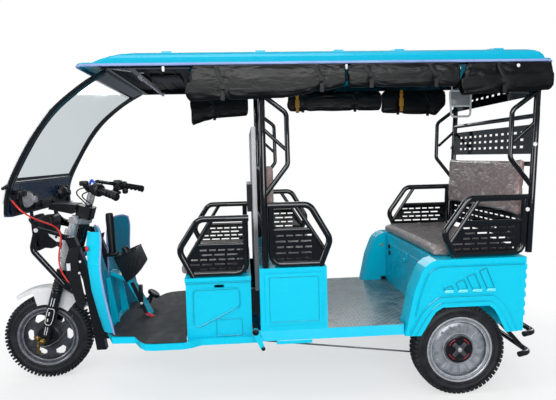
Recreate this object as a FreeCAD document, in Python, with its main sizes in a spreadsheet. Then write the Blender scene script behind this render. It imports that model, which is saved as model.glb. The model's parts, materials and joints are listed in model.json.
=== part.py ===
import FreeCAD, Part
import math
import os
import Sketcher
from FreeCAD import Placement, Rotation, Vector

# A battery auto rickshaw: one front wheel in a raked fork, a driver's bench, and two
# passenger benches that face each other under a long roof.
# Millimetres. X points to the rear, Y to the vehicle's right side, Z up, with the
# origin on the ground under the middle of the whole vehicle.

SIZES = {
    # Fits
    "seat_gap": 0.3,
    "running_gap": 0.05,
    # Wheels
    "front_axle_x": -1211,
    "front_tyre_radius": 240,
    "front_tyre_half_width": 42,
    "rear_axle_x": 986,
    "rear_tyre_radius": 234,
    "rear_tyre_half_width": 44,
    "rear_wheel_y": 464,
    "bead_radius": 152,
    "bead_step": 10,
    "flange_height": 14,
    "flange_wall": 4,
    "rim_wall": 5,
    "front_hub_radius": 62,
    "front_hub_half_width": 38,
    "front_disc_thickness": 12,
    "front_window_count": 6,
    "front_window_length": 52,
    "front_window_height": 34,
    "front_axle_radius": 8,
    "rear_hub_radius": 66,
    "rear_shaft_radius": 15,
    "rear_flute_count": 16,
    "rear_flute_width": 13,
    # Steering
    "rake": 16.5,
    "fork_offset": 36,
    "fork_leg_y": 78,
    "slider_radius": 23,
    "slider_length": 262,
    "slider_foot": 24,
    "spring_radius": 25,
    "spring_length": 120,
    "spring_coils": 6,
    "spring_wire": 5,
    "fork_tube_radius": 17,
    "fork_sleeve_radius": 26,
    "lower_clamp_level": 452,
    "upper_clamp_level": 680,
    "clamp_thickness": 24,
    "clamp_gap": 5,
    "stem_radius": 20,
    "head_tube_radius": 28,
    "head_block_height": 70,
    "bar_level": 872,
    "bar_radius": 11,
    "grip_radius": 17,
    "grip_length": 120,
    "grip_end_back": 239,
    "grip_end_y": 315,
    "grip_end_level": 915,
    "mudguard_gap": 35,
    "mudguard_half_width": 50,
    "mudguard_thickness": 3,
    "mudguard_rear_angle": 36,
    "mudguard_front_angle": 124,
    "valance_depth": 88,
    # Frame
    "frame_tube_width": 40,
    "frame_tube_height": 50,
    "front_rail_y": 200,
    "rear_rail_y": 350,
    "down_tube_setback": 347,
    "down_tube_foot_z": 215,
    "down_tube_knee_z": 600,
    "down_tube_lean": 53,
    "down_tube_top_z": 830,
    "down_tube_top_lean": 83,
    "spine_z": 726,
    "frame_rear_x": 1290,
    "bow_y": 165,
    "bow_radius": 15,
    # Floors
    "driver_floor_z": 328,
    "driver_floor_lip": 33,
    "passenger_floor_z": 376,
    "passenger_floor_front_x": -13,
    "passenger_floor_rear_x": 870,
    "passenger_floor_half": 494,
    "passenger_floor_lip": 54,
    "floor_sheet": 3,
    "mat_thickness": 6,
    # Seat boxes
    "box_wall": 3,
    "driver_box_front_x": -382,
    "driver_box_rear_x": -56,
    "driver_box_half": 408,
    "driver_box_height": 303,
    "passenger_box_length": 331,
    "passenger_box_height": 309,
    "door_inset": 27,
    "door_sill": 27,
    "door_head": 26,
    "door_thickness": 8,
    # Rear body
    "body_half": 520,
    "body_inner": 405,
    "body_wall": 3,
    "body_front_x": 703,
    "body_rear_x": 1322,
    "body_top_z": 700,
    "body_low_z": 322,
    "body_relief": 2,
    "arch_flare": 5,
    "arch_flare_width": 55,
    # Lids and cushions
    "lid_thickness": 6,
    "lid_play": 8,
    "driver_cushion_height": 58,
    "rear_cushion_height": 50,
    "middle_cushion_height": 58,
    "backrest_low_z": 890,
    "backrest_high_z": 1190,
    "backrest_thickness": 40,
    # Tubes of the upper frame
    "tube_radius": 16,
    "cross_tube_radius": 12,
    "grab_tube_radius": 12,
    "middle_pillar_setback": 31,
    "rear_pillar_setback": 30,
    "rear_pillar_lean": 38,
    "panel_thickness": 4,
    "slot_length": 34,
    "slot_height": 8,
    # Roof
    "roof_front_x": -831,
    "roof_rear_x": 1451,
    "roof_overhang": 42,
    "roof_lip_z": 1656,
    "roof_lip_height": 16,
    "roof_rise": 72,
    "roof_wall": 5,
    "roof_corner": 60,
    "roof_tube_height": 30,
    # Windscreen and cowl
    "screen_half": 430,
    "screen_band": 38,
    "screen_thickness": 16,
    "glass_thickness": 4,
    "screen_low_z": 1153,
    "cowl_low_z": 975,
    "cowl_wall": 4,
    "headlamp_y": 250,
    "headlamp_radius": 46,
    # Leg shield
    "shield_wall": 4,
    "shield_top_z": 888,
    # Curtains and cable
    "curtain_thickness": 44,
    "cable_radius": 4,
}

doc = FreeCAD.newDocument("AutoRickshaw")
sheet = doc.addObject("Spreadsheet::Sheet", "Sizes")
for row, (alias, value) in enumerate(SIZES.items(), start=1):
    sheet.set("A%d" % row, alias)
    sheet.set("B%d" % row, str(value))
    sheet.setAlias("B%d" % row, alias)
doc.recompute()


class Length:
    """A size with the expression that gives it from the sheet's cells."""

    def __init__(self, value, text):
        self.value = value
        self.text = text

    def joined(self, sign, other, value):
        return Length(value, "(%s %s %s)" % (self.text, sign, words(other)))

    def __float__(self):
        return float(self.value)

    def __int__(self):
        return int(self.value)

    def __add__(self, other):
        return self.joined("+", other, self.value + float(other))

    def __sub__(self, other):
        return self.joined("-", other, self.value - float(other))

    def __mul__(self, other):
        return self.joined("*", other, self.value * float(other))

    def __truediv__(self, other):
        return self.joined("/", other, self.value / float(other))

    def __radd__(self, other):
        return Length(float(other), words(other)) + self

    def __rsub__(self, other):
        return Length(float(other), words(other)) - self

    def __rmul__(self, other):
        return Length(float(other), words(other)) * self

    def __neg__(self):
        return Length(-self.value, "(0 - %s)" % self.text)

    def __lt__(self, other):
        return self.value < float(other)


def words(number):
    """A number or a size as the text of an expression."""
    return number.text if isinstance(number, Length) else "(%r)" % float(number)


class Reader:
    """Gives a size of the sheet by its alias."""

    def __getattr__(self, alias):
        return Length(float(getattr(sheet, alias)), "Sizes." + alias)


size = Reader()
nodes = []
cuts = []
RIGHT = 1
LEFT = -1
SIDES = (LEFT, RIGHT)


# Document objects whose sizes are bound to the sheet

def keep(name, obj):
    """Names a sub-part and lists it for the export."""
    obj.Label = name
    nodes.append(obj)
    return obj


def feature(name, shape):
    """Adds a sub-part whose shape was made from the sheet's sizes."""
    obj = doc.addObject("Part::Feature", name)
    obj.Shape = shape
    return keep(name, obj)


def bind(obj, prop, number):
    """Binds a property to a size, or sets it to a plain number."""
    obj.setExpression(prop, words(number))


def moved(obj, x=0, y=0, z=0, turn=None):
    """Places an object at a bound point, turned by a fixed rotation."""
    obj.Placement = Placement(Vector(float(x), float(y), float(z)), turn or Rotation())
    for axis, number in zip("xyz", (x, y, z)):
        if isinstance(number, Length):
            bind(obj, "Placement.Base." + axis, number)
    return obj


def raked(obj):
    """Stands a shape, made upright over the front axle, along the steering's rake."""
    tilt = Rotation(Vector(0, 1, 0), float(size.rake))
    moved(obj, size.front_axle_x, 0, size.front_tyre_radius, tilt)
    bind(obj, "Placement.Rotation.Angle", size.rake)
    return obj


def block(x0, x1, y0, y1, z0, z1):
    """A box between two places along each axis."""
    obj = doc.addObject("Part::Box", "Block")
    bind(obj, "Length", x1 - x0)
    bind(obj, "Width", y1 - y0)
    bind(obj, "Height", z1 - z0)
    return moved(obj, x0, y0, z0)


ALONG_X = Rotation(Vector(0, 1, 0), 90)
ALONG_Y = Rotation(Vector(1, 0, 0), -90)


def round_bar(radius, length, x, y, z, turn=None):
    """A cylinder from a point, up along Z unless it is turned."""
    obj = doc.addObject("Part::Cylinder", "Round")
    bind(obj, "Radius", radius)
    bind(obj, "Height", length)
    return moved(obj, x, y, z, turn)


def column(radius, x, y, z0, z1):
    return round_bar(radius, z1 - z0, x, y, z0)


def crossbar(radius, x, z, y0, y1):
    return round_bar(radius, y1 - y0, x, y0, z, ALONG_Y)


def lengthbar(radius, y, z, x0, x1):
    return round_bar(radius, x1 - x0, x0, y, z, ALONG_X)


def outward(side, near, far):
    """Two distances from the middle plane as a rising pair on one side."""
    return (near, far) if side == RIGHT else (-far, -near)


def fused(parts):
    obj = doc.addObject("Part::MultiFuse", "Fused")
    obj.Shapes = parts
    obj.Refine = True
    return obj


def less(base, tools):
    """The base with the tools cut away."""
    obj = doc.addObject("Part::Cut", "Less")
    obj.Base = base
    obj.Tool = tools[0] if len(tools) == 1 else fused(tools)
    return obj


def shared(first, second):
    """What two objects have in common."""
    obj = doc.addObject("Part::Common", "Shared")
    obj.Base = first
    obj.Tool = second
    return obj


def mirrored(obj):
    """The object on the other side of the vehicle."""
    other = doc.addObject("Part::Mirroring", "Mirrored")
    other.Source = obj
    other.Normal = Vector(0, 1, 0)
    return other


def both(obj):
    return [obj, mirrored(obj)]


def grouped(parts):
    obj = doc.addObject("Part::Compound", "Group")
    obj.Links = parts
    return obj


# Sketches, and what is made from them

TURNS = {
    "XY": Rotation(),
    "XZ": Rotation(Vector(1, 0, 0), 90),
    "YZ": Rotation(Vector(1, 1, 1), 120),
}


def draw(sketch, corners):
    """Draws a closed outline whose corners are bound to sizes."""
    first = sketch.GeometryCount
    points = [Vector(float(u), float(v), 0) for u, v in corners]
    for start, end in zip(points, points[1:] + points[:1]):
        sketch.addGeometry(Part.LineSegment(start, end), False)
    for index in range(len(points)):
        after = first + (index + 1) % len(points)
        sketch.addConstraint(Sketcher.Constraint("Coincident", first + index, 2, after, 1))
    for index, corner in enumerate(corners, start=first):
        for kind, number in zip(("DistanceX", "DistanceY"), corner):
            rule = Sketcher.Constraint(kind, -1, 1, index, 1, float(number))
            place = sketch.addConstraint(rule)
            if isinstance(number, Length):
                bind(sketch, "Constraints[%d]" % place, number)


def edge_place(plane, low, high):
    """Where an outline stands so that a push along its plane's normal fills low to high."""
    return -high if plane == "XZ" else low


def prism(plane, corners, low, high):
    """An outline pushed from low to high along the axis across its plane."""
    sketch = doc.addObject("Sketcher::SketchObject", "Outline")
    draw(sketch, corners)
    axis = {"XY": "z", "XZ": "y", "YZ": "x"}[plane]
    start = high if plane == "XZ" else low
    moved(sketch, turn=TURNS[plane], **{axis: start})
    obj = doc.addObject("Part::Extrusion", "Prism")
    obj.Base = sketch
    obj.DirMode = "Normal"
    obj.Solid = True
    bind(obj, "LengthFwd", high - low)
    return obj


def new_body(name):
    return keep(name, doc.addObject("PartDesign::Body", name))


def body_sketch(body, plane, offset, corners):
    """A sketch on one of a body's own planes, moved along the plane's normal."""
    sketch = body.newObject("Sketcher::SketchObject", "Outline")
    found = [item for item in body.Origin.OriginFeatures if item.Role == plane + "_Plane"]
    sketch.AttachmentSupport = [(found[0], "")]
    sketch.MapMode = "FlatFace"
    if isinstance(offset, Length):
        bind(sketch, "AttachmentOffset.Base.z", offset)
    draw(sketch, corners)
    return sketch


def pad(body, plane, corners, low, high):
    """Adds a prism from low to high along the axis across the plane."""
    made = body.newObject("PartDesign::Pad", "Pad")
    made.Profile = body_sketch(body, plane, edge_place(plane, low, high), corners)
    bind(made, "Length", high - low)
    body.Tip = made
    return made


def pocket(body, plane, corners, low, high):
    """Cuts a prism from low to high along the axis across the plane."""
    made = body.newObject("PartDesign::Pocket", "Pocket")
    start = -low if plane == "XZ" else high
    made.Profile = body_sketch(body, plane, start, corners)
    bind(made, "Length", high - low)
    body.Tip = made
    cuts.append(made)
    return made


def turned(body, corners):
    """A profile of (distance along the axle, radius) turned about the body's Y axis."""
    made = body.newObject("PartDesign::Revolution", "Turn")
    made.Profile = body_sketch(body, "YZ", 0, corners)
    made.ReferenceAxis = (made.Profile[0], ["H_Axis"])
    made.Angle = 360
    body.Tip = made
    return made


def ring_of(body, original, count):
    """Repeats a cut round the body's Y axis."""
    made = body.newObject("PartDesign::PolarPattern", "Ring")
    made.Originals = [original]
    made.Axis = (original.Profile[0], ["N_Axis"])
    made.Angle = 360
    bind(made, "Occurrences", count)
    body.Tip = made
    return made


def rectangle(u0, u1, v0, v1):
    return [(u0, v0), (u1, v0), (u1, v1), (u0, v1)]


# Plain shapes for bent tubes and curved sheets

def point(x, y, z):
    return Vector(float(x), float(y), float(z))


def make_box(x0, x1, y0, y1, z0, z1):
    low = point(x0, y0, z0)
    return Part.makeBox(float(x1 - x0), float(y1 - y0), float(z1 - z0), low)


def one_solid(shapes):
    """One solid of shapes that meet."""
    return shapes[0].multiFuse(shapes[1:]).removeSplitter()


def pushed(corners, push):
    """A flat outline of points pushed along a vector."""
    return Part.Face(Part.makePolygon(corners + corners[:1])).extrude(push)


def side_prism(outline, y0, y1):
    return pushed([point(x, y0, z) for x, z in outline], point(0, y1 - y0, 0))


def end_prism(outline, x0, x1):
    return pushed([point(x0, y, z) for y, z in outline], point(x1 - x0, 0, 0))


def mirrored_shape(shape):
    return shape.mirror(Vector(0, 0, 0), Vector(0, 1, 0))


def pair(shape):
    return [shape, mirrored_shape(shape)]


def bend_at(before, corner, after, radius):
    """Start, middle and end of the arc that rounds a corner."""
    into = (corner - before).normalize()
    out = (after - corner).normalize()
    half_turn = into.getAngle(out) / 2
    setback = radius * math.tan(half_turn)
    inward = (out - into).normalize()
    middle = corner + inward * (radius / math.cos(half_turn) - radius)
    return corner - into * setback, middle, corner + out * setback


def bent_path(points, radii):
    """Straight runs joined by tangent arcs."""
    edges = []
    last = points[0]
    for before, corner, after, radius in zip(points, points[1:], points[2:], radii):
        start, middle, end = bend_at(before, corner, after, radius)
        edges.append(Part.LineSegment(last, start).toShape())
        edges.append(Part.Arc(start, middle, end).toShape())
        last = end
    edges.append(Part.LineSegment(last, points[-1]).toShape())
    return Part.Wire(edges)


def swept(points, radius, radii):
    path = bent_path(points, radii)
    along = points[1] - points[0]
    ring = Part.Wire(Part.Circle(points[0], along, float(radius)).toShape())
    return path.makePipeShell([ring], True, False)


def tube(places, radius, bend):
    """A round bar along straight runs and arcs of one bend radius."""
    points = [point(*place) for place in places]
    return swept(points, radius, [float(bend)] * (len(points) - 2))


def rod(start, end, radius):
    start, end = point(*start), point(*end)
    return Part.makeCylinder(float(radius), (end - start).Length, start, end - start)


# Places that several pieces share

pillar_y = size.passenger_floor_half - size.tube_radius
driver_rail_y = size.driver_box_half - size.tube_radius
driver_box_top = size.driver_floor_z + size.driver_box_height
passenger_box_top = size.passenger_floor_z + size.passenger_box_height
passenger_box_rear = size.passenger_floor_front_x + size.passenger_box_length
middle_pillar_x = size.passenger_floor_front_x + size.middle_pillar_setback
frame_top = size.roof_lip_z - 6
roof_half = pillar_y + size.roof_overhang
down_foot_x = size.front_axle_x + size.down_tube_setback
down_knee_x = down_foot_x - size.down_tube_lean
down_top_x = down_knee_x - size.down_tube_top_lean
board_rear = size.passenger_floor_front_x - size.seat_gap
board_front = board_rear - 20


def rear_pillar_x(z):
    """The rear pillars lean back; this is their middle at a level."""
    foot = size.body_rear_x + size.rear_pillar_setback
    share = (z - size.body_top_z) / (frame_top - size.body_top_z)
    return foot + size.rear_pillar_lean * share


def down_tube_x(z):
    """The middle of the down tubes above their knee, at a level."""
    share = (z - size.down_tube_knee_z) / (size.down_tube_top_z - size.down_tube_knee_z)
    return down_knee_x - size.down_tube_top_lean * share


# Wheels

def make_tyre(name, half_width, radius, centre):
    """A filled tyre: a bead, side walls that bulge and a flat tread."""
    seat = size.bead_radius + size.seat_gap
    bead = half_width - size.bead_step
    bulge = seat + (radius - seat) * 0.5
    tread = half_width - 14
    body = new_body(name)
    turned(body, [(-bead, seat), (bead, seat), (half_width, bulge), (tread, radius),
                  (-tread, radius), (-half_width, bulge)])
    moved(body, *centre)


def rim_profile(half_width):
    """Half of the rim's band: bead seat, leaning flange and inner face."""
    bead = half_width - size.bead_step + size.seat_gap
    tip = bead + size.flange_height * 0.24
    lip = size.bead_radius + size.flange_height
    inner = size.bead_radius - size.rim_wall
    return [(bead, size.bead_radius), (tip, lip), (tip + size.flange_wall, lip - 1),
            (bead + size.flange_wall, inner)]


def make_front_rim():
    """The cast front wheel: band, disc with long windows and a drum hub, in one turn."""
    half = rim_profile(size.front_tyre_half_width)
    inner = size.bead_radius - size.rim_wall
    bore = size.front_axle_radius + size.running_gap
    disc = size.front_disc_thickness / 2
    hub, hub_half = size.front_hub_radius, size.front_hub_half_width
    right = half + [(disc, inner), (disc, hub + 8), (hub_half - 14, hub), (hub_half, hub - 14),
                    (hub_half, bore)]
    left = [(-y, radius) for y, radius in reversed(right)]
    body = new_body("front_rim")
    turned(body, right + left)
    middle = (inner + hub + 8) / 2
    long, high = size.front_window_length / 2, size.front_window_height / 2
    window = [(middle - high, -long), (middle, -long - 8), (middle + high, -long * 0.7),
              (middle + high + 8, 0), (middle + high, long * 0.7), (middle, long + 8),
              (middle - high, long)]
    opening = pocket(body, "XZ", window, -disc - 1, disc + 1)
    ring_of(body, opening, size.front_window_count)
    moved(body, size.front_axle_x, 0, size.front_tyre_radius)


def make_rear_rim(side, word):
    """The pressed rear wheel: dished face, radial flutes and a round hub cover."""
    half = rim_profile(size.rear_tyre_half_width)
    face = size.rear_tyre_half_width - size.bead_step
    inner = size.bead_radius - size.rim_wall
    bore = size.rear_shaft_radius + size.running_gap
    hub = size.rear_hub_radius
    dish = [(face - 20, inner), (face - 8, inner - 12), (face - 2, inner - 26),
            (face - 8, hub + 10), (face - 16, hub + 4), (face - 16, hub),
            (face, hub - 2), (face + 1, hub - 16), (face + 1, bore), (-14, bore), (-14, hub),
            (face - 24, hub + 16), (face - 14, inner - 26), (face - 28, inner)]
    back = [(-y, radius) for y, radius in reversed(half)]
    outline = half + dish + back
    body = new_body("rear_%s_rim" % word)
    turned(body, [(side * y, radius) for y, radius in outline])
    wide = size.rear_flute_width / 2
    flute = rectangle(hub + 14, inner - 20, -wide, wide)
    near, far = outward(side, face - 8, face)
    groove = pocket(body, "XZ", flute, near, far)
    ring_of(body, groove, size.rear_flute_count)
    moved(body, size.rear_axle_x, side * size.rear_wheel_y, size.rear_tyre_radius)


def make_wheels():
    make_tyre("front_tyre", size.front_tyre_half_width, size.front_tyre_radius,
              (size.front_axle_x, 0, size.front_tyre_radius))
    make_front_rim()
    for side, word in ((LEFT, "left"), (RIGHT, "right")):
        centre = (size.rear_axle_x, side * size.rear_wheel_y, size.rear_tyre_radius)
        make_tyre("rear_%s_tyre" % word, size.rear_tyre_half_width, size.rear_tyre_radius, centre)
        make_rear_rim(side, word)


# Fork, handlebar and what turns with them. Each is made upright over the axle, with Z up
# along the legs and the steering axis a little behind them, and is then raked.

def make_sliders():
    """The black lower legs with their lugs on the axle."""
    leg, foot = size.fork_leg_y, size.slider_foot
    parts = []
    for side in SIDES:
        parts.append(column(size.slider_radius, 0, side * leg, -foot, size.slider_length))
        near, far = outward(side, size.front_hub_half_width + 1, leg)
        parts.append(crossbar(size.slider_radius - 6, 0, 0, near, far))
    reach = leg + size.slider_radius + 11
    parts.append(crossbar(size.front_axle_radius, 0, 0, -reach, reach))
    raked(keep("fork_sliders", fused(parts)))


def make_springs():
    """The ribbed boots round the springs, one on each leg."""
    low = size.slider_length + size.seat_gap
    pitch = size.spring_length / size.spring_coils
    bore = size.fork_tube_radius + size.seat_gap
    waist = size.spring_radius - size.spring_wire
    outline = [(bore, low), (waist, low)]
    for coil in range(int(size.spring_coils)):
        outline.append((size.spring_radius, low + pitch * (coil + 0.5)))
        outline.append((waist, low + pitch * (coil + 1)))
    outline.append((bore, low + size.spring_length))
    body = doc.addObject("PartDesign::Body", "Boot")
    turn = body.newObject("PartDesign::Revolution", "Turn")
    turn.Profile = body_sketch(body, "XZ", 0, outline)
    turn.ReferenceAxis = (turn.Profile[0], ["V_Axis"])
    turn.Angle = 360
    moved(body, 0, size.fork_leg_y, 0)
    raked(keep("fork_springs", grouped(both(body))))


def clamp_outline():
    """A fork clamp from above: it spans both legs and narrows to the stem behind them."""
    reach = size.fork_leg_y + size.fork_tube_radius + 8
    lug = size.fork_tube_radius + 8
    hub = size.stem_radius + 8
    half = [(-lug, reach), (lug, reach), (size.fork_offset + hub, hub + 6)]
    return half + [(back, -y) for back, y in reversed(half)]


def make_fork_upper():
    """Bright upper tubes and sleeves, two clamps and the stem."""
    leg = size.fork_leg_y
    lower, upper = size.lower_clamp_level, size.upper_clamp_level
    thick = size.clamp_thickness
    parts = []
    for side in SIDES:
        parts.append(column(size.fork_tube_radius, 0, side * leg,
                            size.slider_length + size.seat_gap, upper + thick + 14))
        parts.append(column(size.fork_sleeve_radius - 3, 0, side * leg, lower + thick, upper))
    for level in (lower, upper):
        parts.append(prism("XY", clamp_outline(), level, level + thick))
    parts.append(column(size.stem_radius, size.fork_offset, 0, lower, upper + thick))
    raked(keep("fork_upper", fused(parts)))


def bar_points():
    """The right half of the handlebar: up from the risers, then back to the grip."""
    back, level = size.fork_offset, size.bar_level
    return [(back, 0, level), (back, 50, level), (back - 18, 95, level + 39),
            (back + 31, 190, level + 36),
            (size.grip_end_back, size.grip_end_y, size.grip_end_level)]


def make_handlebar():
    """The bar on its two risers, and the grips with their switch blocks."""
    places = bar_points()
    halves = pair(tube(places, size.bar_radius, 2 * size.bar_radius))
    top = size.upper_clamp_level + size.clamp_thickness + size.head_block_height
    back = size.fork_offset
    riser = rod((back, 34, top + size.seat_gap), (back, 34, size.bar_level), size.bar_radius - 1)
    clamp = rod((back, 22, size.bar_level), (back, 46, size.bar_level), size.bar_radius + 6)
    raked(feature("handlebar", one_solid(halves + pair(riser) + pair(clamp))))

    inner, end = point(*places[3]), point(*places[4])
    run = (end - inner).normalize()
    grip_start = end - run * float(size.grip_length - 4)
    hole = Part.makeCylinder(float(size.bar_radius + size.seat_gap), float(size.grip_length - 4),
                             grip_start, run)
    sleeve = Part.makeCylinder(float(size.grip_radius), float(size.grip_length), grip_start, run)
    cap = Part.makeCylinder(float(size.grip_radius + 4), 8, grip_start, run)
    grip = sleeve.fuse(cap).cut(hole).removeSplitter()
    switch_start = grip_start - run * 44
    switch = Part.makeCylinder(24, 38, switch_start, run)
    switch = switch.cut(Part.makeCylinder(float(size.bar_radius + size.seat_gap), 60,
                                          switch_start - run * 10, run))
    forward = point(-1, 0, 0)
    pivot = switch_start + run * 16 + forward * 34
    lug = Part.makeBox(28, 16, 14, switch_start + run * 10 + point(-46, -8, -7))
    lug = lug.cut(Part.makeCylinder(float(size.bar_radius + size.seat_gap), 90,
                                    switch_start - run * 20, run))
    lever = rod(pivot, pivot + run * float(size.grip_length), 5)
    control = one_solid([switch, lug, lever])
    raked(feature("handlebar_grips", Part.makeCompound(pair(grip) + pair(control))))


def make_mudguard():
    """The front mudguard: an arched sheet with rolled sides and a deep valance by the fork."""
    half, wall = size.mudguard_half_width, size.mudguard_thickness
    inner = size.front_tyre_radius + size.mudguard_gap
    low = inner - 14
    arch = [(-half, low), (-half + wall, low), (-half + wall, inner), (half - wall, inner),
            (half - wall, low), (half, low), (half - 4, inner + wall + 4),
            (half - 16, inner + wall + 9), (16 - half, inner + wall + 9),
            (4 - half, inner + wall + 4)]
    front, rear = size.mudguard_front_angle, size.mudguard_rear_angle
    parts = [arc_of(arch, front, front - rear)]
    deep = inner - size.valance_depth
    for side in SIDES:
        near, far = outward(side, half - wall, half)
        valance = rectangle(near, far, deep, low + 1)
        parts.append(arc_of(valance, front - 20, 54))
        near, far = outward(side, half - wall, size.fork_leg_y)
        level = size.slider_length - 30
        lug = block(-10, 10, near, far, level - 26, level + 26)
        leg = column(size.slider_radius + size.seat_gap, 0, side * size.fork_leg_y, 0, 400)
        parts.append(raked(less(lug, [leg])))
    keep("front_mudguard", fused(parts))


def arc_of(corners, start, sweep):
    """A section of (y, radius) swept back over the front wheel from an angle over +X."""
    body = doc.addObject("PartDesign::Body", "Arc")
    turn = body.newObject("PartDesign::Revolution", "Turn")
    turn.Profile = body_sketch(body, "YZ", 0, corners)
    turn.ReferenceAxis = (turn.Profile[0], ["H_Axis"])
    bind(turn, "Angle", sweep)
    tilt = Rotation(Vector(0, 1, 0), 90 - float(start))
    moved(body, size.front_axle_x, 0, size.front_tyre_radius, tilt)
    return body


def make_dash():
    """The black head block under the risers and the flat instrument box ahead of it."""
    low = size.upper_clamp_level + size.clamp_thickness + size.seat_gap
    high = low + size.head_block_height - size.seat_gap
    offset = size.fork_offset
    plan = [(offset - 50, -40), (offset - 38, -50), (offset + 26, -50), (offset + 34, -38),
            (offset + 34, 38), (offset + 26, 50), (offset - 38, 50), (offset - 50, 40)]
    head = prism("XY", plan, low, high)
    side = [(offset - 188, low + 9), (offset - 60, low + 16), (offset - 46, low + 50),
            (offset - 58, low + 70), (offset - 187, low + 40)]
    box = prism("XZ", side, -70, 70)
    raked(keep("dash_box", fused([head, box])))


# Frame

def leaning(x0, z0, x1, z1, depth, y0, y1):
    """A bar of level depth between two points of a side view."""
    half = depth / 2
    return prism("XZ", [(x0 - half, z0), (x0 + half, z0), (x1 + half, z1), (x1 - half, z1)],
                 y0, y1)


def make_chassis():
    """Front and rear rails, cross members, two down tubes and the steering head."""
    width, height = size.frame_tube_width, size.frame_tube_height
    front_top = size.driver_floor_z - size.floor_sheet
    rear_top = size.passenger_floor_z - size.floor_sheet
    front_y, rear_y = size.front_rail_y, size.rear_rail_y
    step_x = size.passenger_floor_front_x
    reach = rear_y + width / 2
    parts = both(block(down_foot_x, step_x + width, front_y - width / 2, front_y + width / 2,
                       front_top - height, front_top))
    parts += both(block(step_x, size.frame_rear_x, rear_y - width / 2, reach,
                        rear_top - height, rear_top))
    parts.append(block(step_x, step_x + width, -reach, reach, front_top - height, rear_top))
    for x in (passenger_box_rear, size.body_front_x - 3, size.frame_rear_x - width):
        parts.append(block(x, x + width, -reach, reach, rear_top - height, rear_top))
    for x in (down_foot_x + 264, size.driver_box_rear_x - width):
        parts.append(block(x, x + width, -front_y, front_y, front_top - height, front_top))
    outer = front_y + width / 2
    inner = front_y - width / 2
    parts += both(leaning(down_foot_x, size.down_tube_foot_z, down_knee_x, size.down_tube_knee_z,
                          height, inner, outer))
    parts += both(leaning(down_knee_x, size.down_tube_knee_z, down_top_x, size.down_tube_top_z,
                          height, inner, outer))
    spine_z = size.spine_z
    for z in (size.down_tube_knee_z + 20, spine_z):
        x = down_tube_x(z)
        parts.append(block(x - 15, x + 15, -front_y, front_y, z - 15, z + 15))
    low = size.lower_clamp_level + size.clamp_thickness + size.clamp_gap
    high = size.upper_clamp_level - size.clamp_gap
    head = raked(grouped([column(size.head_tube_radius, size.fork_offset, 0, low, high)]))
    bore = raked(grouped([column(size.stem_radius + size.running_gap, size.fork_offset, 0,
                                 low - 20, high + 20)]))
    axis_x = steering_x(spine_z)
    parts.append(block(axis_x, x, -20, 20, spine_z - 15, spine_z + 15))
    parts.append(head)
    cover = block(size.driver_box_rear_x + 2, size.driver_box_rear_x + 41, -380, -368,
                  size.driver_floor_z, passenger_box_top - 125)
    keep("chassis_frame", grouped([less(fused(parts), [bore]), cover, mirrored(cover)]))


def steering_x(z):
    """The steering axis at a level."""
    rake = math.radians(float(size.rake))
    foot_z = size.front_tyre_radius - size.fork_offset * math.sin(rake)
    foot_x = size.front_axle_x + size.fork_offset * math.cos(rake)
    return foot_x + (z - foot_z) * math.tan(rake)


def make_bow():
    """The bow ahead of the fork: bent tubes, flat bars to the head and struts to the cowl."""
    x, y = size.front_axle_x, size.bow_y
    end = down_tube_x(size.down_tube_knee_z) - 8
    bow = tube([(x + 24, y, 863), (x - 3, y, 762), (x + 166, y, 550), (end, y, 470)],
               size.bow_radius, 50)
    outer = y + size.bow_radius
    strap = side_prism([(x + 8, 853), (x + 14, 882), (x + 214, 831), (x + 208, 801)],
                       outer - 6, outer)
    cross = rod((x + 24, -y, 850), (x + 24, y, 850), 10)
    low = size.cowl_low_z - size.cowl_wall - 2 - size.seat_gap
    strut = side_prism([(x + 4, 856), (x + 20, 856), (x + 14, low), (x - 2, low)], y - 4, y + 4)
    feature("front_bow", one_solid(pair(bow) + pair(strap) + pair(strut) + [cross]))


def floor_outline():
    """Half of the driver's floor from above: a waist at the leg shield and a step bulge."""
    front = down_foot_x + 24
    wide = size.driver_box_half
    return [(front, 190), (front + 70, 355), (front + 190, 365), (front + 230, wide + 32),
            (front + 260, wide + 64), (front + 300, wide + 72),
            (size.driver_box_front_x - 18, wide + 72), (size.driver_box_front_x + 22, wide + 62),
            (size.driver_box_front_x + 72, wide + 29),
            (size.passenger_floor_front_x - 1, wide + 29)]


def make_driver_floor():
    """The driver's floor: a tray with turned-down sides, open where the rails pass."""
    top = size.driver_floor_z
    low = top - size.driver_floor_lip
    sheet_z = size.floor_sheet
    half = floor_outline()
    outline = half + [(x, -y) for x, y in reversed(half)]
    corners = [point(x, y, low) for x, y in outline]
    outer = pushed(corners, point(0, 0, top - low))
    face = Part.Face(Part.makePolygon(corners + corners[:1]))
    inner = face.makeOffset2D(-float(sheet_z), 2).extrude(point(0, 0, top - low - sheet_z))
    tray = outer.cut(inner)
    reach = size.front_rail_y + size.frame_tube_width / 2 + 2
    for x in (half[0][0], half[-1][0]):
        tray = tray.cut(make_box(x - 20, x + 20, -reach, reach, low - 1, top - sheet_z))
    feature("driver_floor", tray)


def make_mat():
    """The rubber mat, cut out round the middle channel."""
    top = size.driver_floor_z
    front, rear = down_foot_x + 164, size.driver_box_front_x - 18
    half = [(front, 300), (front + 60, 330), (front + 110, 425), (rear, 440), (rear, 200)]
    outline = half + [(x, -y) for x, y in reversed(half)]
    body = new_body("floor_mat")
    pad(body, "XY", outline, top, top + size.mat_thickness)
    pocket(body, "XY", rectangle(front - 1, front + 82, -46, 46), top, top + size.mat_thickness)


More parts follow.
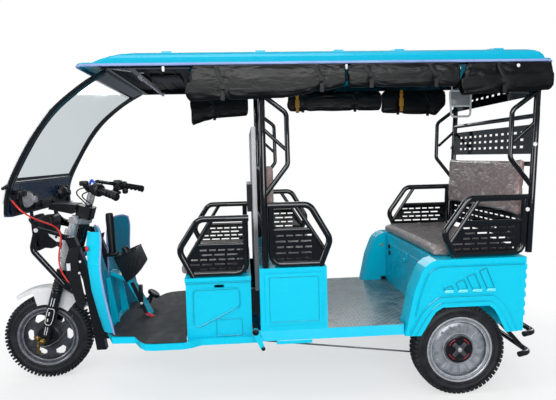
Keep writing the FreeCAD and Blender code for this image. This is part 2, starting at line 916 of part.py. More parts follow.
def make_passenger_floor():
    """The tread plate between the benches with the sills that run on under the seat box."""
    x0, x1 = size.passenger_floor_front_x, size.passenger_floor_rear_x
    wide, narrow = size.passenger_floor_half, size.body_inner
    top, sheet_z = size.passenger_floor_z, size.floor_sheet
    step, start = size.body_front_x, passenger_box_rear
    body = new_body("passenger_floor")
    outline = [(start, -wide), (step, -wide), (step, -narrow), (x1, -narrow), (x1, narrow),
               (step, narrow), (step, wide), (start, wide)]
    pad(body, "XY", outline, top - sheet_z, top)
    low = top - size.passenger_floor_lip
    for side in SIDES:
        near, far = outward(side, wide - sheet_z, wide)
        pad(body, "XY", rectangle(start, step, near, far), low, top - sheet_z)
        pad(body, "XY", rectangle(x0, start, near, far), low, top - sheet_z)
    pad(body, "XY", rectangle(x0 - 41, x0, -wide + 4, -wide + 10), top - 26, top)
    pad(body, "XY", rectangle(x0 - 41, x0 + 20, -wide + 3, -wide + 10), top - 26, top - sheet_z)


# Seat boxes

def make_driver_box():
    """The driver's seat box: open below, a hatch on top, pressed panels and a latch slot."""
    wall, half = size.box_wall, size.driver_box_half
    x0, x1 = size.driver_box_front_x, size.driver_box_rear_x
    low, top = size.driver_floor_z, driver_box_top
    body = new_body("driver_seat_box")
    pad(body, "XY", rectangle(x0, x1, -half, half), low, top)
    pad(body, "XY", rectangle(x0 - 4, x1 + 2, -half - 4, half + 4), top - 20, top)
    panel = [(x0 + 34, top - 58), (x0 + 34, top - 240), (x0 + 42, top - 249),
             (x0 + 56, top - 248), (x1 - 74, top - 178), (x1 - 62, top - 166),
             (x1 - 62, top - 66), (x1 - 72, top - 56), (x0 + 44, top - 50)]
    for side in SIDES:
        near, far = outward(side, half, half + 3)
        pad(body, "XZ", panel, near, far)
    pocket(body, "XY", rectangle(x0 + wall, x1 - wall, wall - half, half - wall), low, top - wall)
    pocket(body, "XY", rectangle(x0 + 40, x1 - 40, 70 - half, half - 70), top - wall, top)
    recess = rectangle(x1 - 178, x1 - 57, low + 7, low + 82)
    latch = rectangle(x0 + 143, x0 + 190, top - 52, top - 38)
    for side in SIDES:
        near, far = outward(side, half - 1.5, half)
        pocket(body, "XZ", recess, near, far)
        near, far = outward(side, half - wall, half + 3)
        pocket(body, "XZ", latch, near, far)


def make_passenger_box():
    """The passenger seat box: closed below and above, with a doorway on each side."""
    wall, half = size.box_wall, size.passenger_floor_half
    x0, x1 = size.passenger_floor_front_x, passenger_box_rear
    low, top = size.passenger_floor_z - size.floor_sheet, passenger_box_top
    body = new_body("passenger_seat_box")
    pad(body, "XY", rectangle(x0, x1, -half, half), low, top)
    door = doorway(10)
    pocket(body, "XZ", door, -half, half)
    inside = rectangle(x0 + wall, x1 - wall, low + wall, top - wall)
    pocket(body, "XZ", inside, wall - half, half - wall)


def doorway(inset):
    """The door's outline in the side of the passenger box, drawn in by an inset."""
    x0, x1 = size.passenger_floor_front_x, passenger_box_rear
    low, top = size.passenger_floor_z, passenger_box_top
    return rectangle(x0 + size.door_inset + inset, x1 - size.door_inset - inset,
                     low + size.door_sill + inset, top - size.door_head - inset)


def make_doors():
    """An overlaid door on each side with a rounded hinge edge and a pressed border."""
    near = size.passenger_floor_half + size.seat_gap
    far = near + size.door_thickness
    axis_x = size.passenger_floor_front_x + size.door_inset
    low = size.passenger_floor_z + size.door_sill
    high = passenger_box_top - size.door_head
    for side, word in ((LEFT, "left"), (RIGHT, "right")):
        y0, y1 = outward(side, near, far)
        leaf = block(axis_x, passenger_box_rear - size.door_inset, y0, y1, low, high)
        edge = column(size.door_thickness / 2, axis_x, (y0 + y1) / 2, low, high)
        groove_near, groove_far = outward(side, far - 1, far + 1)
        frame = less(prism("XZ", doorway(16), groove_near, groove_far),
                     [prism("XZ", doorway(20), groove_near, groove_far)])
        keep("box_door_" + word, less(fused([leaf, edge]), [frame]))


def make_battery():
    low = size.passenger_floor_z
    battery = block(middle_pillar_x + 12, passenger_box_rear - 38, -300, 300, low,
                    passenger_box_top - 85)
    keep("battery_pack", battery)


# Rear body

def body_outline(inset):
    """The side outline of the rear body, drawn in by an inset."""
    top = size.body_top_z - inset
    front = size.body_front_x + inset
    rear = size.body_rear_x - inset
    low = size.body_low_z
    return [(front, low), (front + 46, low + 220), (front + 84, top - 60 + inset * 0.4),
            (front + 100, top - 33 + inset * 0.3), (front + 126, top - 12), (front + 160, top),
            (rear, top), (rear - 15, low)]


def arch_outline(grow):
    """The wheel arch opening with its flat top, grown outwards for the flare."""
    x, low = size.rear_axle_x, size.body_low_z
    top = low + 139 + grow
    return [(x - 205 - grow, low - 60), (x - 205 - grow, low), (x - 151 - grow, low + 88 + grow * 0.4),
            (x - 130 - grow * 0.7, low + 118 + grow * 0.7), (x - 94 - grow * 0.4, top),
            (x + 144 + grow * 0.4, top), (x + 169 + grow * 0.7, low + 118 + grow * 0.7),
            (x + 188 + grow, low + 88 + grow * 0.4), (x + 230 + grow, low), (x + 230 + grow, low - 60)]


def louvre_outlines():
    """Four leaning recesses that grow in height towards the rear, on one slanted line."""
    x, z = size.body_front_x + 160, size.body_low_z + 204
    outlines = []
    for index in range(4):
        left = x + 62 * index
        height = 34 + 33 * index
        lean = height * 0.34
        outlines.append([(left, z), (left + 40, z), (left + 40 - lean, z + height + 12),
                         (left - lean, z + height)])
    return outlines


def make_rear_body():
    """A hollow pod over each rear wheel with its arch flare, pressed panel and louvres."""
    wall, relief = size.body_wall, size.body_relief
    near, far = size.body_inner, size.body_half - relief
    rear, front = size.body_rear_x, size.body_front_x
    low, top = size.body_low_z, size.body_top_z
    shell = less(prism("XZ", body_outline(0), near, far),
                 [prism("XZ", [(x, z if z.value > low.value else low - 1)
                               for x, z in body_outline(wall)], near + wall, far - wall)])
    panel = prism("XZ", body_outline(32), far - 1, size.body_half)
    flare_box = block(front + 20, rear - 18, near, size.body_half + size.arch_flare, low, top)
    flare = shared(prism("XZ", arch_outline(size.arch_flare_width), far - wall,
                         size.body_half + size.arch_flare - 2), flare_box)
    lip = shared(prism("XZ", arch_outline(size.arch_flare_width - 30), far - wall,
                       size.body_half + size.arch_flare), flare_box)
    tools = [prism("XZ", arch_outline(0), far - wall - 1, size.body_half + 20)]
    for outline in louvre_outlines():
        tools.append(prism("XZ", outline, far + 0.5, size.body_half + 1))
    tools.append(block(size.rear_axle_x - 150, size.rear_axle_x + 150, near - 1, near + wall + 1,
                       low - 1, low + 78))
    pod = less(fused([shell, panel, flare, lip]), tools)
    keep("rear_body_right", pod)
    keep("rear_body_left", mirrored(pod))


def make_rear_base():
    """The sheet box between the pods: front panel with vent slots, ledge and rear panel."""
    wall, inner = size.body_wall, size.body_inner
    front, rear = size.passenger_floor_rear_x, size.body_rear_x
    low = size.passenger_floor_z - size.floor_sheet
    shelf = size.body_top_z - size.lid_thickness - size.seat_gap
    body = new_body("rear_seat_base")
    pad(body, "XZ", rectangle(front, rear, low, shelf), -inner, inner)
    pocket(body, "XZ", rectangle(front + wall, rear - wall, low, shelf - wall), -inner, inner)
    pocket(body, "XY", rectangle(front + 60, rear - 90, 50 - inner, inner - 50), shelf - wall, shelf)
    for index in range(5):
        y = 90 - inner + 30 * index
        slot = [(y, shelf - 150), (y + 10, shelf - 150), (y + 34, shelf - 60), (y + 24, shelf - 60)]
        pocket(body, "YZ", slot, front, front + wall)


def make_lamps():
    """The tail lamps on the rear body, the headlamps in the cowl and the box lamp."""
    rear = size.body_rear_x + size.seat_gap
    y = (size.body_inner + size.body_half) / 2
    tails = []
    for level in (580, 480, 380):
        low, high = (rear - 15 * (size.body_top_z - z) / (size.body_top_z - size.body_low_z)
                     for z in (level, level + 52))
        lens = [(low, level), (low + 12, level), (high + 12, level + 52), (high, level + 52)]
        tails += both(prism("XZ", lens, y - 34, y + 34))
    x, z, radius = size.front_axle_x, size.cowl_low_z + 64, size.headlamp_radius
    for side in SIDES:
        lamp = lengthbar(radius, side * size.headlamp_y, z, x - 34, x + 74)
        tails.append(lamp)
    keep("body_lamps", grouped(tails))
    lamp = prism("XZ", [(x - 32, 760), (x - 14, 737), (x + 71, 745), (x + 79, 830),
                        (x + 71, 936), (x - 4, 930), (x - 32, 880)], -68, 68)
    hole = crossbar(10 + size.seat_gap, x + 24, 850, -80, 80)
    keep("front_lamp", less(lamp, [hole]))


# Lids and cushions

def make_lids():
    """The two hinged seat boards, each with a rounded edge on its hinge line."""
    gap, thick = size.seat_gap, size.lid_thickness
    low = driver_box_top + gap
    half = driver_rail_y - size.tube_radius - size.lid_play
    front, rear = size.driver_box_front_x - 1, size.driver_box_rear_x - 6
    board = block(front, rear, -half, half, low, low + thick)
    edge = crossbar(thick / 2, front, low + thick / 2, -half, half)
    keep("driver_seat_lid", fused([board, edge]))
    low = size.body_top_z - thick
    half = size.body_inner - 6
    front, rear = size.passenger_floor_rear_x + 6, size.body_rear_x - 13
    board = block(front, rear, -half, half, low, size.body_top_z)
    edge = crossbar(thick / 2, rear, low + thick / 2, -half, half)
    keep("rear_seat_lid", fused([board, edge]))


def make_cushions():
    """Plain closed solids for the benches and their backs."""
    gap = size.seat_gap
    low = driver_box_top + gap + size.lid_thickness + gap
    half = driver_rail_y - size.tube_radius - size.lid_play
    keep("driver_cushion", block(size.driver_box_front_x - 32, size.driver_box_rear_x - 10, -half,
                                 half, low, low + size.driver_cushion_height))
    low = size.body_top_z + gap
    half = pillar_y - size.tube_radius - 14
    keep("rear_cushion", block(size.passenger_floor_rear_x - 5, size.body_rear_x - 16, -half, half,
                               low, low + size.rear_cushion_height))
    low = passenger_box_top + gap
    keep("middle_cushion", block(middle_pillar_x + 42, passenger_box_rear + 14, -half, half, low,
                                 low + size.middle_cushion_height))
    face = middle_pillar_x + size.cross_tube_radius + gap
    low, high = size.backrest_low_z - 60, size.backrest_high_z
    keep("middle_backrest", block(face, face + size.backrest_thickness, 18 - half, half - 18, low,
                                  high))
    lift = size.cross_tube_radius + gap
    low = size.backrest_low_z
    thick = size.backrest_thickness
    lean = [(rear_pillar_x(low) - lift - thick, low), (rear_pillar_x(low) - lift, low),
            (rear_pillar_x(high) - lift, high), (rear_pillar_x(high) - lift - thick, high)]
    keep("rear_backrest", prism("XZ", lean, 8 - half, half - 8))


def make_partition():
    """The light board behind the driver with its rows of slots, and the driver's back pad."""
    low, high = passenger_box_top - 125, passenger_box_top + 690
    half = pillar_y - size.tube_radius - 32
    body = new_body("partition_board")
    pad(body, "YZ", rectangle(-half, half, low, high), board_front, board_rear)
    for row in range(3):
        z = high - 60 - 30 * row
        for index in range(8):
            y = 92 * index - 350
            pocket(body, "YZ", rectangle(y, y + 56, z - 12, z), board_front, board_rear)
    keep("driver_back_pad", block(board_front - 28, board_front - size.seat_gap, -160, 160, 930,
                                  1080))


# Upper tubes

def trimmed(shape, low, high):
    """The shape between two levels."""
    return shape.common(make_box(-1700, 1700, -700, 700, low, high))


def slots_in(outline, y0, y1, columns, rows, margin):
    """Rows of slots, each second row shifted, that fit inside a side outline."""
    xs = [float(x) for x, z in outline]
    zs = [float(z) for x, z in outline]
    face = Part.Face(Part.makePolygon([point(x, 0, z) for x, z in outline + outline[:1]]))
    inner = face.makeOffset2D(-float(margin), 2)
    long, high = float(size.slot_length), float(size.slot_height)
    pitch_x = (max(xs) - min(xs)) / columns
    pitch_z = (max(zs) - min(zs) - 2 * margin) / rows
    made = []
    for row in range(rows):
        z = min(zs) + margin + pitch_z * (row + 0.5)
        length = long * (1.5 if row % 2 else 1.0)
        for index in range(columns * 2):
            x = min(xs) + margin + (length + 12) * index + (6 if row % 2 else 14)
            ends = [point(x, 0, z - high / 2), point(x + length, 0, z + high / 2)]
            if all(inner.isInside(end, 0.01, True) for end in ends):
                made.append(make_box(x, x + length, y0 - 1, y1 + 1, z - high / 2, z + high / 2))
    return made


def make_hoops():
    """Middle and rear pillars with cross tubes and grab bars, and the rear slotted sheets."""
    y, radius = pillar_y, size.tube_radius
    cross = size.cross_tube_radius
    x, top = middle_pillar_x, frame_top
    pieces = pair(rod((x, y, passenger_box_top), (x, y, top), radius))
    for z in (860, 1160):
        pieces.append(rod((x, -y, z), (x, y, z), cross))
    bars = tube([(x, y, 1525), (x + 118, y, 1433), (x + 120, y, 1187), (x, y, 1033)],
                size.grab_tube_radius, 40)
    strut = rod((x, y, 1364), (x + 119, y, 1253), size.grab_tube_radius - 3)
    pieces += pair(bars) + pair(strut)
    feature("middle_hoop", one_solid(pieces))

    low = size.body_top_z
    mid = rear_pillar_x
    shape = rod((mid(low - 5), y, low - 5), (mid(top + 5), y, top + 5), radius)
    pieces = pair(trimmed(shape, low + size.tube_radius, top))
    for z in (930, 1160, 1400):
        pieces.append(rod((mid(z), -y, z), (mid(z), y, z), cross))
    bars = tube([(mid(1520), y, 1520), (mid(1427) - 126, y, 1427), (mid(1192) - 123, y, 1192),
                 (mid(1045), y, 1045)], size.grab_tube_radius, 40)
    strut = rod((mid(1372), y, 1372), (mid(1273) - 110, y, 1273), size.grab_tube_radius - 3)
    pieces += pair(bars) + pair(strut)
    pieces += [rear_sheet(1210, 1358, 3), rear_sheet(1500, 1600, 1)]
    feature("rear_hoop", one_solid(pieces))


def rear_sheet(low, high, rows):
    """A leaning sheet between the rear pillars with rows of slots."""
    thick = size.panel_thickness
    mid = rear_pillar_x
    plate = side_prism([(mid(low) - thick, low), (mid(low), low), (mid(high), high),
                        (mid(high) - thick, high)], 8 - pillar_y, pillar_y - 8)
    slots = []
    for row in range(rows):
        z = low + (high - low) * (row + 1) / (rows + 1)
        for index in range(12):
            y = 66 * index - 380
            slots.append(make_box(mid(z) - 40, mid(z) + 40, y, y + size.slot_length, z - 6, z + 6))
    return plate.cut(Part.makeCompound(slots))


def make_rail(name, loop, post, strut, midbar, panel, y, low):
    """A side rail on both sides: outer loop, rounded post, strut, middle bar, slotted sheet."""
    radius = size.tube_radius
    thin = radius - 1
    shapes = [tube([(x, y, z) for x, z in loop], radius, 55)]
    shapes.append(tube([(x, y, z) for x, z in post], thin, 50))
    shapes.append(rod((strut[0][0], y, strut[0][1]), (strut[1][0], y, strut[1][1]), 11))
    shapes.append(rod((midbar[0], y, midbar[2]), (midbar[1], y, midbar[2]), 9))
    thick = size.panel_thickness / 2
    sheet_shape = side_prism(panel, y - thick, y + thick)
    slots = slots_in(panel, y - thick, y + thick, 5, 5, 12)
    shapes.append(sheet_shape.cut(Part.makeCompound(slots)))
    side = trimmed(one_solid(shapes), low, 1200)
    feature(name, Part.makeCompound(pair(side)))


def make_rails():
    """The driver's, middle and rear side rails."""
    radius = size.tube_radius
    base = driver_box_top
    low = base + radius
    front, rear = size.driver_box_front_x, size.driver_box_rear_x - 2
    make_rail("driver_rails",
              [(front + 40, base), (front - 29, base + 140), (front + 72, base + 293),
               (rear, base + 293)],
              [(rear - 18, base + 290), (rear - 18, low), (front + 44, low)],
              ((front + 142, base + 291), (front + 2, base + 72)),
              (front + 54, rear - 18, base + 162),
              [(front + 26, low), (front + 4, base + 70), (front + 60, base + 160),
               (rear - 18, base + 160), (rear - 18, low)], driver_rail_y, base)
    base = passenger_box_top
    low = base + radius
    pillar = middle_pillar_x
    front = pillar + radius + size.seat_gap
    rear = passenger_box_rear
    make_rail("middle_rails",
              [(rear - 30, base), (rear + 22, base + 131), (rear - 78, base + 306),
               (front, base + 306)],
              [(front + radius, base + 304), (front + radius, low), (rear - 34, low)],
              ((rear - 148, base + 304), (rear, base + 70)),
              (front + radius, rear - 68, base + 185),
              [(front + radius, base + 183), (rear - 68, base + 183), (rear - 2, base + 73),
               (rear - 22, low), (front + radius, low)], pillar_y, base)
    base = size.body_top_z
    low = base + radius
    front = size.body_front_x
    rear = size.body_rear_x + size.rear_pillar_setback - radius - size.seat_gap
    make_rail("rear_rails",
              [(front + 267, base), (front + 209, base + 122), (front + 332, base + 295),
               (rear + 11, base + 295)],
              [(rear - radius + 8, base + 292), (rear - radius, low), (front + 262, low)],
              ((front + 390, base + 293), (front + 235, base + 65)),
              (front + 307, rear - radius, base + 177),
              [(front + 237, base + 65), (front + 311, base + 173), (rear - radius, base + 173),
               (rear - radius, low), (front + 256, low)], pillar_y, base)


# Roof

def roof_slice(level, side_in, front_in, rear_in):
    """A level rounded rectangle of the roof."""
    half = float(roof_half - side_in)
    front = float(size.roof_front_x + front_in)
    rear = float(size.roof_rear_x - rear_in)
    corner = float(size.roof_corner)
    centres = [(rear - corner, half - corner, 0), (front + corner, half - corner, 90),
               (front + corner, corner - half, 180), (rear - corner, corner - half, 270)]
    edges = []
    ends = []
    for x, y, start in centres:
        spots = [Vector(x + corner * math.cos(math.radians(start + turn)),
                        y + corner * math.sin(math.radians(start + turn)), float(level))
                 for turn in (0, 45, 90)]
        edges.append(Part.Arc(*spots).toShape())
        ends.append((spots[0], spots[2]))
    wire = []
    for index, edge in enumerate(edges):
        wire += [edge, Part.makeLine(ends[index][1], ends[(index + 1) % 4][0])]
    return Part.Wire(wire)


# Share of the rise, then the insets at the side, the front and the rear.
ROOF_STEPS = [(0.04, 12, 46, 20), (0.32, 18, 96, 26), (0.50, 27, 132, 34), (0.64, 42, 165, 46),
              (0.75, 66, 202, 66), (0.85, 110, 252, 96), (0.94, 190, 318, 150), (1.0, 300, 400, 240)]


def roof_levels(wall):
    """Levels and insets of the roof: an upright lip, a step, a round shoulder, a low crown."""
    lip = size.roof_lip_z + size.roof_lip_height
    rise = size.roof_rise
    levels = [(size.roof_lip_z - (1 if wall else 0), wall, wall, wall),
              (lip - wall, wall, wall, wall)]
    for share, side_in, front_in, rear_in in ROOF_STEPS:
        levels.append((lip + rise * share - wall, side_in + wall, front_in + wall, rear_in + wall))
    return levels


def roof_solid(wall):
    """The roof as ruled steps between its slices."""
    levels = roof_levels(float(wall))
    slices = [roof_slice(*level) for level in levels]
    return Part.makeLoft(slices, True, True)


def roof_rib(x, first, last):
    """A low rib across the roof that follows its crown between two steps of the dome."""
    foot = size.roof_lip_z + size.roof_lip_height
    steps = [(roof_half - step[1], foot + size.roof_rise * step[0]) for step in ROOF_STEPS]
    half = [(y, z + 7) for y, z in steps[first:last]]
    start = (half[0][0] + 10, half[0][1] - 14)
    base = (half[-1][0], half[-1][1] - 28)
    right = [base, start] + half
    return end_prism(right + [(-y, z) for y, z in reversed(right)], x - 24, x + 24)


def make_roof():
    """The moulded roof shell with its ribs, and the tube frame under it."""
    front, rear = size.roof_front_x, size.roof_rear_x
    ribs = [roof_rib(x, 4, 8) for x in (front + 411, front + 851, front + 1228, front + 1527,
                                        rear - 257)]
    shell = one_solid([roof_solid(0)] + ribs).cut(roof_solid(size.roof_wall))
    feature("roof_shell", shell)
    z, high, y = frame_top, frame_top + size.roof_tube_height, pillar_y
    start, end = front + 118, rear_pillar_x(frame_top) + 5
    parts = both(block(start, end, y - 12, y + 12, z, high))
    for x in (start, start + 113, start + 533, middle_pillar_x - 15, middle_pillar_x + 482,
              middle_pillar_x + 882, end - 46):
        parts.append(block(x, x + 30, -y, y, z, high))
        parts += both(block(x, x + 30, y, roof_half - size.roof_wall, size.roof_lip_z + size.seat_gap,
                            size.roof_lip_z + 10))
    keep("roof_frame", fused(parts))


# Windscreen and cowl

def screen_curve(offset):
    """The windscreen from the side, moved inwards by an offset."""
    foot, low, top = size.front_axle_x, size.cowl_low_z, frame_top + 6
    outline = [(foot - 13, low), (foot - 10, low + 54), (foot + 4, low + 135),
               (foot + 70, low + 264), (foot + 155, low + 404), (foot + 241, low + 507),
               (foot + 338, low + 588), (foot + 426, low + 648), (foot + 495, top)]
    spots = [point(x, 0, z) for x, z in outline]
    moved_spots = []
    for index, spot in enumerate(spots):
        before = spots[max(index - 1, 0)]
        after = spots[min(index + 1, len(spots) - 1)]
        run = (after - before).normalize()
        moved_spots.append(spot + Vector(run.z, 0, -run.x) * float(offset))
    return moved_spots


def screen_sheet(y0, y1, outer, inner):
    """A curved sheet between two offsets of the screen curve."""
    curves = []
    for offset in (outer, inner):
        curve = Part.BSplineCurve()
        curve.interpolate([spot + point(0, y0, 0) for spot in screen_curve(offset)])
        curves.append(curve.toShape())
    starts = [curve.Vertexes[0].Point for curve in curves]
    ends = [curve.Vertexes[-1].Point for curve in curves]
    edges = [curves[0], Part.makeLine(ends[0], ends[1]), curves[1],
             Part.makeLine(starts[1], starts[0])]
    return Part.Face(Part.Wire(Part.__sortEdges__(edges))).extrude(point(0, y1 - y0, 0))


def make_windscreen():
    """The curved frame with its two windows, the glass and the cowl panel with its lamps."""
    half, band = size.screen_half, size.screen_band
    x, foot, low = size.front_axle_x, size.cowl_low_z, size.screen_low_z
    thick, gap = size.screen_thickness, size.seat_gap
    sheet_shape = screen_sheet(-half, half, 0, thick)
    upper = make_box(x - 190, x + 451, band - half, half - band, low, frame_top - 28)
    lower = make_box(x - 190, x + 200, band - half, half - band, foot + 16, low - band)
    feature("windscreen_frame", sheet_shape.cut(upper).cut(lower))
    seat = thick + gap
    overlap = 10
    glass = screen_sheet(band - half - overlap, half - band + overlap, seat,
                         seat + size.glass_thickness)
    glass = glass.common(make_box(x - 190, x + 441, -half, half, low - overlap, frame_top - 40))
    feature("windscreen_glass", glass)
    panel = screen_sheet(4 - half, half - 4, seat, seat + size.cowl_wall)
    panel = panel.common(make_box(x - 190, x + 200, -half, half, foot + 6, low - band + 12))
    chin = make_box(x - 13, x + 26, -half, half, foot - size.cowl_wall - 2, foot - 2)
    y, z = size.headlamp_y, foot + 64
    bores = [rod((x - 60, side * y, z), (x + 90, side * y, z), size.headlamp_radius + gap)
             for side in SIDES]
    rib = make_box(x + 3.4, x + 12, 4 - half, half - 4, foot - 3, foot + 12)
    cowl = one_solid([panel, chin, rib])
    feature("front_cowl", cowl.cut(Part.makeCompound(bores)))


# Leg shield and console

def shield_slice(front, rear, half, z):
    """A level slice of the leg shield: an arc from one rear edge round to the other."""
    wall = float(size.shield_wall)

    def arc(shift):
        return Part.Arc(point(rear, -half + shift, z), point(front + shift, 0, z),
                        point(rear, half - shift, z)).toShape()

    edges = [arc(0), Part.makeLine(point(rear, half, z), point(rear, half - wall, z)),
             arc(wall), Part.makeLine(point(rear, -half + wall, z), point(rear, -half, z))]
    return Part.Wire(Part.__sortEdges__(edges))


def shield_wing(side, levels):
    """The flank that wraps forward from one rear edge of the shield, as a lofted sheet."""
    wires = []
    for rear, front, half, z in levels:
        outer = [(rear - 2, half - 3.2), (rear / 2 + front / 2 - 3, half - 17), (front, half - 46)]
        inner = [(rear - 2, half - 6.6), (rear / 2 + front / 2 - 1, half - 20), (front + 2, half - 49)]
        arcs = [Part.Arc(*[point(x, side * y, z) for x, y in spots]).toShape()
                for spots in (outer, inner)]
        ends = [Part.makeLine(point(outer[index][0], side * outer[index][1], z),
                              point(inner[index][0], side * inner[index][1], z))
                for index in (0, 2)]
        wires.append(Part.Wire(Part.__sortEdges__([arcs[0], ends[1], arcs[1], ends[0]])))
    return Part.makeLoft(wires, True, True)


def make_leg_shield():
    """The curved leg shield with round shoulders, split by a deep V for the steering head."""
    x, low = size.front_axle_x, size.driver_floor_z
    top = size.shield_top_z
    rise = top - low
    levels = [(0.0, 361, 449, 330), (0.165, 349, 428, 330), (0.41, 345, 405, 330),
              (0.63, 331, 391, 330), (0.84, 315, 403, 325), (1.0, 306, 399, 315)]
    slices = [shield_slice(x + front, x + rear, Length(half, str(half)), low + rise * share)
              for share, front, rear, half in levels]
    flank = [(0.02, x + 448, x + 384, 330), (0.165, x + 428, x + 361, 330),
             (0.41, x + 405, x + 331, 330), (0.63, x + 391, x + 319, 330),
             (0.84, x + 403, x + 315, 325), (0.96, x + 400, x + 323, 317)]
    wings = [shield_wing(side, [(rear, front, half, low + rise * share)
                                for share, rear, front, half in flank]) for side in SIDES]
    shield = one_solid([Part.makeLoft(slices, True, True)] + wings)
    notch = end_prism([(0, low + 232), (60, low + 350), (105, top - 60), (150, top - 16),
                       (190, top + 12), (-190, top + 12), (-150, top - 16), (-105, top - 60),
                       (-60, low + 350)], x + 11, x + 511)
    corner = [(-340, top - 46), (-316, top - 14), (-280, top + 2), (-340, top + 2)]
    corners = [end_prism(corner, x + 11, x + 511),
               end_prism([(-y, z) for y, z in corner], x + 11, x + 511)]
    feature("leg_shield", shield.cut(Part.makeCompound([notch] + corners)))


def make_guards():
    """The black guard plate beside the fork, one on each side."""
    x = size.front_axle_x
    outline = [(x + 272, 790), (x + 211, 770), (x + 186, 703), (x + 190, 640), (x + 201, 590),
               (x + 229, 480), (x + 246, 452), (x + 261, 440), (x + 281, 470), (x + 261, 600),
               (x + 251, 700)]
    plane = size.front_rail_y + size.frame_tube_width / 2 + size.seat_gap
    keep("shield_inner", grouped(both(prism("XZ", outline, plane, plane + 6))))


def make_console():
    """Two sheet posts and a middle channel from the steering head to the floor."""
    x, z = size.front_axle_x, size.driver_floor_z
    post = prism("XZ", [(x + 362, 579), (x + 381, 590), (x + 424, z), (x + 381, z)], 108, 120)
    middle = prism("XZ", [(x + 366, 600), (x + 471, 560), (x + 587, z), (x + 561, z),
                          (x + 451, 540), (x + 366, 580)], -40, 40)
    mouth = [(x + 397, 679), (x + 523, 730), (x + 558, 637), (x + 459, 538)]
    outer = prism("XZ", mouth, -75, 75)
    lever = prism("XZ", [(x + 480, 520), (x + 492, 524), (x + 560, z + 40), (x + 548, z + 30)],
                  -56, -40)
    keep("centre_console", grouped(both(post) + [less(middle, [outer]), lever]))
    hollow = prism("XZ", [(x + 404, 690), (x + 527, 740), (x + 551, 640), (x + 461, 548)], -71, 71)
    divider = prism("XZ", [(x + 468, 707), (x + 473, 709), (x + 510, 600), (x + 505, 598)], -71, 71)
    pocket_shape = less(outer, [less(hollow, [divider])])
    keep("storage_pocket", pocket_shape)


# Rear axle, springs and bumper

def make_rear_axle():
    """The axle tube with the drive housing in its middle and a stub shaft at each end."""
    x, z = size.rear_axle_x, size.rear_tyre_radius
    drum_end = size.rear_wheel_y - 28
    tube_end = drum_end - 38
    end = size.rear_wheel_y + size.rear_tyre_half_width - 12
    parts = [crossbar(28, x, z, -tube_end, tube_end), crossbar(92, x, z, -62, 62),
             lengthbar(70, 0, z + 5, x - 170, x),
             crossbar(size.rear_shaft_radius, x, z, -end, end)]
    for side in SIDES:
        near, far = outward(side, tube_end, drum_end)
        parts.append(crossbar(85, x, z, near, far))
        near, far = outward(side, size.rear_rail_y - 28, size.rear_rail_y + 28)
        parts.append(block(x - 35, x + 35, near, far, z, z + 38))
    arm = [(x - 36, z - 44), (x - 16, z - 19), (x - 51, z - 69), (x - 68, z - 74)]
    parts.append(prism("XZ", arm, -tube_end - 1, -tube_end + 10))
    keep("rear_axle", fused(parts))


def make_leaf_springs():
    """A pack of leaves on each side, from a front hanger to a rear shackle."""
    x, z, y = size.rear_axle_x, size.rear_tyre_radius + 38, size.rear_rail_y
    top = size.passenger_floor_z - size.floor_sheet - size.frame_tube_height
    thick = 6
    parts = []
    for index, reach in enumerate((120, 170, 220)):
        level = z + thick * index
        parts.append(block(x - reach, x + reach, y - 24, y + 24, level, level + thick))
    high = z + 3 * thick
    parts.append(block(x - 276, x + 256, y - 24, y + 24, high, high + thick))
    for end in (x - 284, x + 224):
        parts.append(block(end, end + 40, y - 24, y + 24, high - thick, top))
    keep("leaf_springs", grouped(both(fused(parts))))


def make_rear_bumper():
    """Two bent tubes behind the body, on stays from plates under the frame."""
    x, y = size.frame_rear_x, size.rear_rail_y
    radius = 14
    pieces = []
    for back, reach, level in ((130, 430, 280), (115, 415, 166)):
        pieces.append(tube([(x + back - 66, -reach - 18, level - 4), (x + back, -reach, level),
                            (x + back, reach, level), (x + back - 66, reach + 18, level - 4)],
                           radius, 40))
    under = size.passenger_floor_z - size.floor_sheet - size.frame_tube_height
    plate = make_box(x - 36, x - 6, y - 16, y + 16, under - 12, under)
    upper = rod((x - 20, y, under - 8), (x + 130, y, 280), 11)
    lower = rod((x - 16, y, under - 8), (x + 115, y, 166), 11)
    pieces += pair(one_solid([plate, trimmed(upper, 0, under), trimmed(lower, 0, under)]))
    feature("rear_bumper", one_solid(pieces))


# Brake linkage

def make_brakes():
    """The foot pedal, and the crank and rod that pull the rear brake."""
    y = size.passenger_floor_half + size.seat_gap
    x, z = size.passenger_floor_front_x, size.passenger_floor_z
    lever = prism("XZ", [(x - 45, z), (x - 33, z + 16), (x - 15, z + 12), (x - 9, z - 6),
                         (x + 15, z - 80), (x + 9, z - 94), (x - 3, z - 92)], -y - 9, -y - 3)
    pivot = crossbar(8, x - 27, z - 10, -y - 9, -y + 3)
    rod_y = size.rear_wheel_y - 80
    pin = crossbar(5, x + 4, z - 87, -y - 9, -rod_y - 4 - size.seat_gap)
    keep("brake_crank", fused([lever, pivot, pin]))
    start = point(x + 4, -rod_y, z - 90)
    end = point(size.rear_axle_x - 61, -rod_y, size.rear_tyre_radius - 67)
    feature("brake_rod", rod(start, end, 4))
    floor = size.driver_floor_z
    px = down_foot_x + 122
    pedal = one_solid([make_box(px, px + 34, 135, 165, floor, floor + 10),
                       rod((px + 17, 150, floor + 9), (px + 82, 150, floor + 70), 7),
                       rod((px + 82, 110, floor + 72), (px + 82, 190, floor + 72), 12)])
    feature("brake_pedal", pedal)


# Curtains

